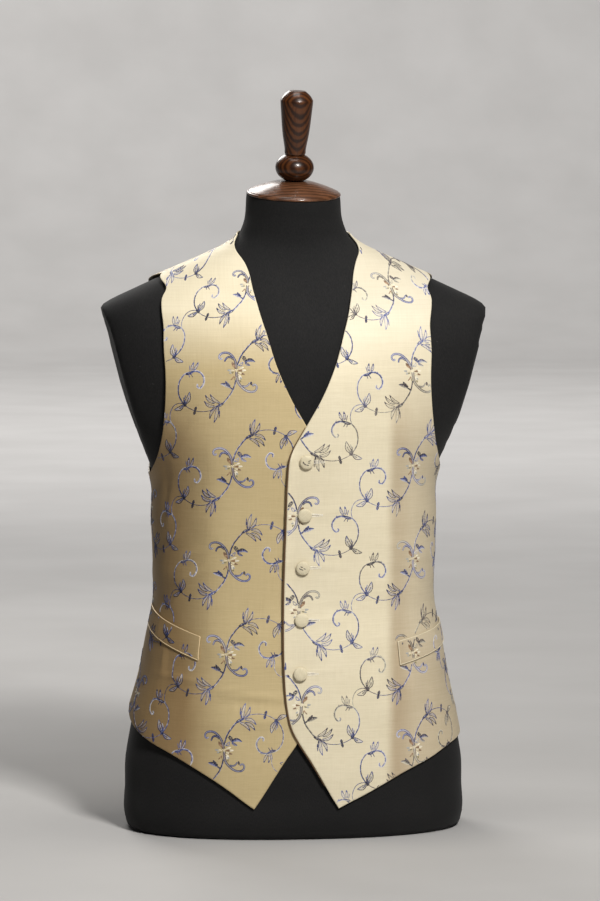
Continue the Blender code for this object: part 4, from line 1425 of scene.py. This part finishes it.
STITCH_PLACES = np.array((  # along, aside and up, as shares
    (0.0, 0.0, 0.15), (0.22, 0.5, 0.0), (0.78, 0.5, 0.0), (1.0, 0.0, 0.15),
    (0.78, -0.5, 0.0), (0.22, -0.5, 0.0), (0.25, 0.0, 1.0), (0.75, 0.0, 1.0),
))
STITCH_FACES = np.array((
    (0, 6, 1), (1, 6, 7), (1, 7, 2), (2, 7, 3), (3, 7, 4), (4, 7, 6), (4, 6, 5), (5, 6, 0),
))


SUNK = 0.06 * MM  # how far a stitch lies in the cloth


def lay_stitches(name, rows, side, base, slot):
    """A mesh of stitches on a front, base over the form's cloth."""
    rows = np.array(rows)
    start, end = rows[:, 0:2], rows[:, 2:4]
    way = end - start
    way = way / np.maximum(np.linalg.norm(way, axis=1, keepdims=True), 1e-9)
    left = np.stack([-way[:, 1], way[:, 0]], -1)
    along, aside, high = STITCH_PLACES.T
    flat = start[:, None] + (end - start)[:, None] * along[None, :, None]
    flat = flat + left[:, None] * (rows[:, 4, None] * aside)[..., None]
    rise = rows[:, 5, None] * high - SUNK
    angle, height = to_body(flat[..., 0].ravel(), flat[..., 1].ravel())
    points = draped(angle, height, base, side, rise.ravel())
    faces = (np.arange(len(rows))[:, None, None] * 8 + STITCH_FACES).reshape(-1, 3)
    mesh = bpy.data.meshes.new(name)
    mesh.from_pydata(points.tolist(), [], faces.tolist())
    cut = np.concatenate([flat.reshape(-1, 2), np.zeros((len(points), 1))], 1)
    write_attribute(mesh, "cut", "FLOAT_VECTOR", cut)
    tint = np.repeat(np.concatenate([rows[:, 6:9], np.ones((len(rows), 1))], 1), 8, axis=0)
    write_attribute(mesh, "thread", "FLOAT_COLOR", tint)
    mesh.materials.append(thread)
    mesh.shade_smooth()
    obj = bpy.data.objects.new(name, mesh)
    print(name, len(rows), "stitches", len(faces), "faces")
    return place_piece(obj, slot)


def on_body_ends(rows):
    """Angle and height of both ends of each stitch."""
    rows = np.array(rows)
    return [np.stack(to_body(rows[:, i], rows[:, i + 1]), -1) for i in (0, 2)]


def place_on_welt(side, places):
    """How far along a welt places are, how far below its top, and how high it is there."""
    inner, top, rise = WELTS[side]
    share = (places[:, 0] - inner) / (WELT_OUTER - inner)
    return share, top + rise * share - places[:, 1], WELT_HEIGHT - WELT_TAPER * share


def covered_by_welt(side, places):
    """Which places a welt covers, with a little room for its edge."""
    share, below, high = place_on_welt(side, places)
    return (share > 0.012) & (share < 0.988) & (below > 1.2 * MM) & (below < high - 1.2 * MM)


def near_welt(side, places):
    """Which places lie under or right beside a welt."""
    share, below, high = place_on_welt(side, places)
    return (share > -0.02) & (share < 1.02) & (below > -1.8 * MM) & (below < high + 1.8 * MM)


BODY_RADIUS = 0.13  # turns an angle into a rough length round the body
EDGE_CLEAR = 1.0 * MM  # no stitch comes closer than this to an edge
for side, word in SIDES:
    rows = np.array(needles[side].rows)
    outline = outline_of(front_borders(side))
    ends = on_body_ends(rows)
    ends = [places * (side, 1) for places in ends]
    kept = inside(outline, ends[0]) & inside(outline, ends[1])
    middle = (ends[0] + ends[1]) / 2
    edge_gap = np.min([
        np.min(np.hypot((places[:, None, 0] - outline[None, ::4, 0]) * BODY_RADIUS,
                        places[:, None, 1] - outline[None, ::4, 1]), axis=1)
        for places in ends
    ], axis=0)
    kept &= edge_gap > EDGE_CLEAR
    on_welt = covered_by_welt(side, ends[0]) & covered_by_welt(side, ends[1])
    beside = near_welt(side, ends[0]) | near_welt(side, ends[1])
    front_rows = rows[kept & ~beside]
    welt_rows = rows[kept & on_welt]
    lay_stitches("embroidery_front_" + word, front_rows, side, CLOTH, "embroidered_silk")
    over_welt = CLOTH + SEAM + WELT_CLOTH
    lay_stitches("embroidery_welt_" + word, welt_rows, side, over_welt, "embroidered_silk")

# %% [markdown]
# ## Buttonholes, welt cords and buttons
# A tailored buttonhole is cut, bound with close purl stitches over a strand of gimp, and
# closed at its inner end with a bar. It runs from the button away from the edge. The
# pocket welts are edged with a thin cord. The buttons are domed moulds covered in
# the same silk, gathered behind, each on a shank of thread.


# %% Buttonholes
BUTTONHOLE_ENDS = (-2 * MM, 19 * MM)  # from the button
PURL = 0.62 * MM  # a stitch's width
# A dark stitch along the cut, painted shadow in the buttonhole's opening
SLIT_PAINTED_SHADOW = (0.10, 0.07, 0.035)


def work_buttonhole(needle, across, up):
    """Purl stitches on both sides of the slit, a bar at its inner end, and a dark stitch in the
    slit as painted shadow.
    """
    begin, end = across + BUTTONHOLE_ENDS[0], across + BUTTONHOLE_ENDS[1]
    count = int((end - begin) / PURL)
    tint = np.array(BUTTONHOLE_THREAD)
    for i in range(count + 1):
        x = begin + (end - begin) * i / count
        for way in (1, -1):
            wander = 0.15 * MM * (needle.rng.random() - 0.5)
            shade = tint * (0.82 + 0.3 * needle.rng.random())
            start = (x, up + way * 0.25 * MM)
            reach = (2.5 - 1.3 * (i / count) ** 2) * MM
            needle.stitch(start, (x + wander, up + way * reach), PURL, shade, 0.55 * MM)
    for i in range(3):
        y = up + (i - 1) * 0.8 * MM
        needle.stitch((end + 0.2 * MM, y), (end + 1.6 * MM, y), 0.8 * MM, tint * 0.95, 0.6 * MM)
    slit = np.array(SLIT_PAINTED_SHADOW)
    needle.stitch((begin, up), (end + 0.5 * MM, up), 0.7 * MM, slit, 0.18 * MM)


holes = Needle(5)
for i in range(BUTTON_COUNT):
    level = np.array([BUTTON_TOP - i * BUTTON_PITCH])
    place = to_flat(angle_at(closing_line(level), level), level)
    work_buttonhole(holes, float(place[0][0]), float(place[1][0]))
lay_stitches("buttonholes", holes.rows, 1, CLOTH, "embroidered_silk")


# %% Cords
def tube_mesh(name, points, normals, radius, sides, flats):
    """A round cord along points, with a radius at each and flat coordinates for the weave."""
    points = np.array(points)
    radius = np.broadcast_to(radius, len(points))[:, None]
    way = np.gradient(points, axis=0)
    way /= np.linalg.norm(way, axis=1, keepdims=True)
    aside = np.cross(way, normals)
    aside /= np.linalg.norm(aside, axis=1, keepdims=True)
    up = np.cross(aside, way)
    turn = np.linspace(0, 2 * math.pi, sides, endpoint=False)
    ring = np.cos(turn)[None, :, None] * aside[:, None] + np.sin(turn)[None, :, None] * up[:, None]
    corners = (points[:, None] + ring * radius[..., None]).reshape(-1, 3)
    rows = np.arange(len(points) - 1)[:, None] * sides
    j = np.arange(sides)[None, :]
    k = (j + 1) % sides
    faces = np.stack([rows + j, rows + k, rows + sides + k, rows + sides + j], -1).reshape(-1, 4)
    ends = [list(range(sides))[::-1], list(range(len(corners) - sides, len(corners)))]
    mesh = bpy.data.meshes.new(name)
    mesh.from_pydata(corners.tolist(), [], faces.tolist() + ends)
    spread = np.repeat(flats, sides, axis=0)
    spread[:, 1] += (turn * radius).ravel()
    write_attribute(mesh, "cut", "FLOAT_VECTOR", spread)
    mesh.shade_smooth()
    return mesh


CORD = 0.55 * MM
CORD_OVER = 1.2 * MM  # over the face below the welt


def welt_cord(side, word, material):
    """A cord along a welt's top, its inner end and its foot."""
    share = np.linspace(0, 1, 90)
    inner_end = np.linspace(1, 0, 22)[1:-1]
    u = np.concatenate([1 - share, np.zeros(20), share])
    v = np.concatenate([np.ones(90), inner_end, np.zeros(90)])
    inner, top, rise = WELTS[side]
    angle = inner + (WELT_OUTER - inner) * u
    height = top + rise * u - (WELT_HEIGHT - WELT_TAPER * u) * (1 - v)
    points = draped(side * angle, height, CLOTH + SEAM, side, CORD_OVER)
    normals = form_normal(side * angle, height)
    flats = np.stack([*to_flat(side * angle, height), 0 * u], -1)
    mesh = tube_mesh("welt_cord_" + word, points, normals, CORD, 8, flats)
    mesh.materials.append(material)
    return place_piece(bpy.data.objects.new(mesh.name, mesh), "embroidered_silk")


# A brown cord along the outer front's free edge, painted shadow under the lapped edge
EDGE_SHADOW_CORD = 1.0 * MM
EDGE_SHADOW_ENDS = (62 * MM, 466 * MM)  # its heights
EDGE_SHADOW_TAPER = 70 * MM
EDGE_SHADOW_DEPTH = 0.45  # its share of the way through the cloth
EDGE_SHADOW_ASIDE = 0.8 * MM


def edge_shadow_cord():
    """A brown cord under the outer front's free edge, thinner towards both ends: painted shadow of
    the lapped edge.
    """
    v = np.linspace(0, 1, 700)
    angle, height = front_place(1, 0 * v, v)
    kept = (height > EDGE_SHADOW_ENDS[0]) & (height < EDGE_SHADOW_ENDS[1])
    angle, height = angle[kept], height[kept]
    normals = form_normal(angle, height)
    points = draped(angle, height, EDGE_SHADOW_DEPTH * CLOTH, 1)
    way = np.gradient(points, axis=0)
    aside = np.cross(way, normals)
    aside /= np.linalg.norm(aside, axis=1, keepdims=True)
    aside *= -np.sign(aside[:, :1])
    near_end = np.minimum(height - EDGE_SHADOW_ENDS[0], EDGE_SHADOW_ENDS[1] - height)
    radius = EDGE_SHADOW_CORD * (0.4 + 0.6 * ease_step(near_end, 0, EDGE_SHADOW_TAPER))
    flats = np.stack([*to_flat(angle, height), 0 * angle], -1)
    points = points + aside * EDGE_SHADOW_ASIDE
    mesh = tube_mesh("edge_shadow_tube", points, normals, radius, 8, flats)
    mesh.materials.append(edge_shadow_silk)
    return place_piece(bpy.data.objects.new(mesh.name, mesh), "embroidered_silk")


cords = [welt_cord(1, "left", silk), welt_cord(-1, "right", peach), edge_shadow_cord()]
print([cord.name for cord in cords])


# %% Turned pieces
def turned_mesh(name, profile, steps, crimp=0.0, crimps=0):
    """Spins a profile of radius and height round Z, closed at the axis. Crimps gather it."""
    profile = np.array(profile)
    turn = np.linspace(0, 2 * math.pi, steps, endpoint=False)
    ring = np.stack([np.cos(turn), np.sin(turn)], -1)
    radius = profile[1:-1, 0, None] * np.ones((1, steps))
    if crimps:
        outer = ease_step(profile[1:-1, 0, None] / profile[:, 0].max(), 0.82, 1.0)
        gather = np.sin(turn * crimps + 0.8 * np.sin(turn * 3))
        radius = radius * (1 + crimp * outer * gather)
    corners = np.concatenate([
        radius[..., None] * ring,
        profile[1:-1, 1, None, None] * np.ones((1, steps, 1)),
    ], -1).reshape(-1, 3)
    count = len(profile) - 2
    rows = np.arange(count - 1)[:, None] * steps
    j = np.arange(steps)[None, :]
    k = (j + 1) % steps
    faces = np.stack([rows + steps + j, rows + steps + k, rows + k, rows + j], -1)
    faces = faces.reshape(-1, 4).tolist()
    first, last = len(corners), len(corners) + 1
    corners = np.concatenate([corners, [(0, 0, profile[0, 1]), (0, 0, profile[-1, 1])]])
    for i in range(steps):
        following = (i + 1) % steps
        base = (count - 1) * steps
        faces.append((i, following, first))
        faces.append((base + following, base + i, last))
    mesh = bpy.data.meshes.new(name)
    mesh.from_pydata(corners.tolist(), [], faces)
    mesh.shade_smooth()
    return mesh


BUTTON_FLATNESS = 0.72  # under 1 the dome is flatter on top and steeper near its rim


def button_profile():
    """A domed, covered button and its shank, top to bottom."""
    rim = SHANK_LENGTH + BUTTON_RIM
    profile = [(0.0, SHANK_LENGTH + BUTTON_DOME)]
    for i in range(1, 13):
        turn = i * math.pi / 24
        radius = BUTTON_RADIUS * math.sin(turn) ** BUTTON_FLATNESS
        rise = (BUTTON_DOME - BUTTON_RIM) * max(math.cos(turn), 0) ** BUTTON_FLATNESS
        profile.append((radius, rim + rise))
    profile += [(BUTTON_RADIUS - 0.05 * MM, rim - 0.5 * MM)]
    profile += [(BUTTON_RADIUS - 0.45 * MM, SHANK_LENGTH + 0.15 * MM)]
    profile += [(BUTTON_RADIUS - 1.4 * MM, SHANK_LENGTH), (SHANK_RADIUS, SHANK_LENGTH)]
    return profile + [(SHANK_RADIUS, 0.0), (0.0, 0.0)]


covered = silk_material("covered_button_silk", (0.74, 0.67, 0.50), (0.62, 0.55, 0.38), 0.05, 0.62)
for i in range(BUTTON_COUNT):
    level = np.array(BUTTON_TOP - i * BUTTON_PITCH)
    angle = angle_at(closing_line(level), level)
    mesh = turned_mesh("covered_button_%d" % (i + 1), button_profile(), 48, 0.018, 21)
    corners = np.array([corner.co[:] for corner in mesh.vertices])
    dome = corners[:, 2] > SHANK_LENGTH + BUTTON_RIM
    ripple = np.sin(corners[:, 0] * 900 + i) * np.sin(corners[:, 1] * 760 + 2 * i)
    corners[:, 2] += dome * ripple * 0.10 * MM
    mesh.vertices.foreach_set("co", corners.ravel())
    slant = (0.5 + 1.9 * i) % math.pi
    flats = np.stack([
        corners[:, 0] * math.cos(slant) - corners[:, 1] * math.sin(slant),
        corners[:, 0] * math.sin(slant) + corners[:, 1] * math.cos(slant),
        corners[:, 2],
    ], -1)
    write_attribute(mesh, "cut", "FLOAT_VECTOR", flats)
    mesh.materials.append(covered)
    button = bpy.data.objects.new(mesh.name, mesh)
    button.location = on_cloth(angle, level, CLOTH, 1, SEAM)
    normal = Vector(form_normal(angle, level))
    button.rotation_euler = normal.to_track_quat("Z", "Y").to_euler()
    place_piece(button, "covered_button", "button_%d" % (i + 1))

# A bit of the embroidery falls on two of the buttons: which one, from, to and tone
BUTTON_MOTIFS = (
    (0, (-4.6, 1.2), (-3.4, -1.4), 0.3), (0, (-3.6, -1.0), (-0.8, -2.8), 0.2),
    (0, (-1.0, -2.6), (2.2, -3.2), 0.45), (0, (1.0, 1.0), (4.4, 2.6), 0.6),
    (0, (0.6, -0.6), (3.8, -0.2), 0.75), (2, (-4.6, 0.4), (-2.4, -1.4), 0.15),
    (2, (-2.8, -1.0), (0.4, -2.2), 0.1), (2, (-3.4, 2.2), (-0.4, 1.0), 0.35),
    (2, (0.0, 0.2), (3.0, -1.2), 0.7),
)
motifs = Needle(7)
for which, begin, end, tone in BUTTON_MOTIFS:
    level = np.array([BUTTON_TOP - which * BUTTON_PITCH])
    middle = np.concatenate(to_flat(angle_at(closing_line(level), level), level))
    tint = thread_colour(EARTH_THREADS, tone)
    begin, end = (middle + np.array(place) * MM for place in (begin, end))
    motifs.stitch(begin, end, 1.3 * MM, tint * 0.7)
lay_stitches(
    "button_motifs", motifs.rows, 1, CLOTH + SEAM + SHANK_LENGTH + BUTTON_DOME - 0.12 * MM,
    "embroidered_silk",
)

# %% [markdown]
# ## The dress form and its cap
# A dress form is a padded shell under tight black jersey, with flat arm ends and a flat
# base to stand on. Its neck is closed by a turned walnut cap, and a ball and a tapered
# handle stand on that, so it can be lifted. They lean a little to the front with the neck.


# %% Form
def fine_form():
    """The form's rings, closer than the solid's, with its arm ends cut flat."""
    levels = np.unique(np.concatenate([
        np.linspace(0, 12 * MM, 7), np.linspace(12 * MM, NECK_TOP, 150)
    ]))
    steps = 144
    angles = np.linspace(0, 2 * math.pi, steps, endpoint=False)
    arm_levels = column(ARM_END, ARM_END_COLUMNS, "height") * MM
    arm_widths = column(ARM_END, ARM_END_COLUMNS, "half_width") * MM
    angle, height = np.meshgrid(angles, levels)
    points = on_form(angle, height)
    limit = np.interp(levels, arm_levels, arm_widths, left=1.0, right=1.0)[:, None]
    points[..., 0] = np.clip(points[..., 0], -limit, limit)
    lean = ease_step(height, NECK_LEAN_FROM, NECK_TOP)
    points[..., 2] += points[..., 1] * math.tan(CAP_LEAN) * lean
    points[..., 2] -= points[..., 0] * math.tan(CAP_SIDE_LEAN) * lean
    count = len(levels)
    rows = np.arange(count - 1)[:, None] * steps
    j = np.arange(steps)[None, :]
    k = (j + 1) % steps
    faces = np.stack([rows + j, rows + k, rows + steps + k, rows + steps + j], -1)
    faces = faces.reshape(-1, 4).tolist()
    faces.append(list(range(steps))[::-1])
    faces.append(list(range((count - 1) * steps, count * steps)))
    mesh = bpy.data.meshes.new("jersey_form")
    mesh.from_pydata(points.reshape(-1, 3).tolist(), [], faces)
    turn = (angle + math.pi) % (2 * math.pi) - math.pi
    flats = np.stack([*to_flat(turn, np.clip(height, LEVELS[0], LEVELS[-1])), height], -1)
    flats[..., 1] = height
    write_attribute(mesh, "cut", "FLOAT_VECTOR", flats)
    mesh.materials.append(jersey)
    mesh.shade_smooth()
    mesh.set_sharp_from_angle(angle=50 * DEG)
    return place_piece(bpy.data.objects.new(mesh.name, mesh), "black_jersey", "form_body")


fine_form()


# %% Cap, ball and handle
def soft_curve(points, step):
    """A smooth turned profile through its points, evenly split."""
    line = np.array(points)
    knots = np.arange(len(line), dtype=float)
    fine = np.linspace(0, knots[-1], 40 * len(line))
    traced = np.stack([smooth(knots, line[:, i], fine) for i in (0, 1)], -1)
    length = np.concatenate([[0], np.cumsum(np.linalg.norm(np.diff(traced, axis=0), axis=1))])
    at = np.linspace(0, length[-1], max(int(length[-1] / step), 2))
    return [tuple(np.interp(value, length, traced[:, i]) for i in (0, 1)) for value in at]


lean = Euler((CAP_LEAN, CAP_SIDE_LEAN, 0.0))
axis = lean.to_matrix() @ Vector((0.0, 0.0, 1.0))
seat = Vector((0.0, CAP_MIDDLE, NECK_TOP + CAP_MIDDLE * math.tan(CAP_LEAN))) + axis * SEAM
cap_top = CAP_EDGE + CAP_RISE
cap_profile = [(0.0, cap_top)]
cap_profile += soft_curve((
    (15 * MM, cap_top - 0.6 * MM), (24 * MM, cap_top - 2.4 * MM), (36 * MM, cap_top - 6.2 * MM),
    (46 * MM, CAP_EDGE + 3.4 * MM), (51.5 * MM, CAP_EDGE + 1.0 * MM),
), 1.2 * MM)
cap_profile += [(CAP_RADIUS - 1.6 * MM, CAP_EDGE + 0.1 * MM)]
for i in range(7):
    turn = math.pi / 2 - math.pi * i / 6
    cap_profile.append((
        CAP_RADIUS - 1.5 * MM + 1.5 * MM * math.cos(turn),
        CAP_EDGE / 2 + (CAP_EDGE / 2 - 0.1 * MM) * math.sin(turn),
    ))
cap_profile.append((0.0, 0.0))
ball_low = cap_top + SEAM
ball_high = ball_low + BALL_HEIGHT
ball_middle = (ball_low + ball_high) / 2
ball_profile = [(0.0, ball_high)]
tilt_top = math.asin(BALL_HEIGHT / (BALL_HEIGHT + 2 * BALL_CUT))
for i in range(33):
    tilt = tilt_top * (1 - i / 16)
    ball_profile.append((
        BALL_RADIUS * math.cos(tilt),
        ball_middle + (BALL_HEIGHT / 2 + BALL_CUT) * math.sin(tilt),
    ))
ball_profile.append((0.0, ball_low))
low = ball_high + SEAM
high = low + HANDLE_HEIGHT
handle_profile = [(0.0, high), (HANDLE_TOP - 2 * MM, high)]
handle_profile += soft_curve((
    (HANDLE_TOP - 1.2 * MM, high - 0.15 * MM), (HANDLE_TOP, high - 0.9 * MM),
    (HANDLE_TOP + 4.6 * MM, high - 5.0 * MM), (HANDLE_WIDE - 0.6 * MM, high - HANDLE_CHAMFER),
    (HANDLE_WIDE, high - HANDLE_CHAMFER - 2.5 * MM),
    (HANDLE_WIDE - 0.7 * MM, high - HANDLE_CHAMFER - 12 * MM),
    (15.4 * MM, low + 26 * MM), (HANDLE_LOW + 0.4 * MM, low + 8 * MM),
    (HANDLE_LOW, low + 2.0 * MM), (HANDLE_LOW - 0.8 * MM, low + 0.1 * MM),
), 1.0 * MM)
handle_profile.append((0.0, low))
for name, profile, material, node in (
    ("turned_cap", cap_profile, cap_wood, "neck_cap"),
    ("turned_ball", ball_profile, handle_wood, "finial_ball"),
    ("turned_handle", handle_profile, handle_wood, "finial_handle"),
):
    mesh = turned_mesh(name, profile, 96)
    mesh.materials.append(material)
    mesh.set_sharp_from_angle(angle=40 * DEG)
    fitting = bpy.data.objects.new(name, mesh)
    fitting.location = seat
    fitting.rotation_euler = lean
    place_piece(fitting, "walnut", node)

# %% [markdown]

# %% [markdown]
# ## Floor and light
# The picture has a large soft light high on the right, in front, and lets the other side
# fall into shade. The floor and the backdrop are one pale sheet that curves up.


# %% Studio
def area_light(name, place, aim, size, power, colour):
    """A soft rectangular light that points at aim."""
    data = bpy.data.lights.new(name, "AREA")
    data.shape = "RECTANGLE"
    data.size, data.size_y = size
    data.energy = power
    data.color = colour
    lamp = bpy.data.objects.new(name, data)
    lamp.location = place
    lamp.rotation_euler = (Vector(aim) - Vector(place)).to_track_quat("-Z", "Y").to_euler()
    bpy.context.scene.collection.objects.link(lamp)
    return lamp


MIDDLE = (0.0, 0.0, 0.42)
area_light("key", (0.70, -2.34, 2.25), MIDDLE, (0.5, 0.5), 101, (1.0, 0.985, 0.96))
area_light("top", (0.0, -0.10, 2.1), (0, 0, 0.6), (0.7, 0.7), 8, (1.0, 0.99, 0.97))
area_light("fill", (-1.6, -2.2, 0.9), MIDDLE, (1.2, 1.4), 0.5, (0.96, 0.97, 1.0))
area_light("back", (-0.6, 2.0, 1.9), MIDDLE, (1.0, 1.0), 26, (1.0, 0.98, 0.95))
area_light("backdrop", (0.0, 4.0, 8.0), (0, 14.0, 3.1), (4.0, 3.0), 1450, (1.0, 0.99, 0.98))
ROOM_COLOUR = (0.80, 0.84, 0.90, 1)
ROOM_STRENGTH = 0.035
world = bpy.data.worlds.new("studio")
world.use_nodes = True
world.node_tree.nodes["Background"].inputs["Color"].default_value = ROOM_COLOUR
world.node_tree.nodes["Background"].inputs["Strength"].default_value = ROOM_STRENGTH
bpy.context.scene.world = world

floor_material, tree, shader = new_material("pale_floor")
source = tree.nodes.new("ShaderNodeTexCoord")
mottle = noise(tree, source.outputs["Object"], 3.0, 3.0)
pale = ramp(tree, mottle, ((0.3, (0.43, 0.42, 0.41)), (0.7, (0.47, 0.46, 0.45))))
tree.links.new(pale, shader.inputs["Base Color"])
shader.inputs["Roughness"].default_value = 0.8
# The backdrop stands so far off that a camera can go behind the form as well
WIDE, NEAR, FAR, HIGH, BEND = 14.0, -14.0, 14.0, 9.0, 3.0
FLOOR_GAP = 0.3 * MM
sweep = [(NEAR, 0.0)]
for i in range(17):
    turn = math.pi / 2 * i / 16
    sweep.append((FAR - BEND + BEND * math.sin(turn), BEND - BEND * math.cos(turn)))
sweep.append((FAR, HIGH))
corners = [(side * WIDE, along, up - FLOOR_GAP) for along, up in sweep for side in (-1, 1)]
faces = [(2 * i, 2 * i + 1, 2 * i + 3, 2 * i + 2) for i in range(len(sweep) - 1)]
floor_mesh = bpy.data.meshes.new("floor")
floor_mesh.from_pydata(corners, [], faces)
floor_mesh.materials.append(floor_material)
floor_mesh.shade_smooth()
floor = bpy.data.objects.new("floor", floor_mesh)
bpy.context.scene.collection.objects.link(floor)
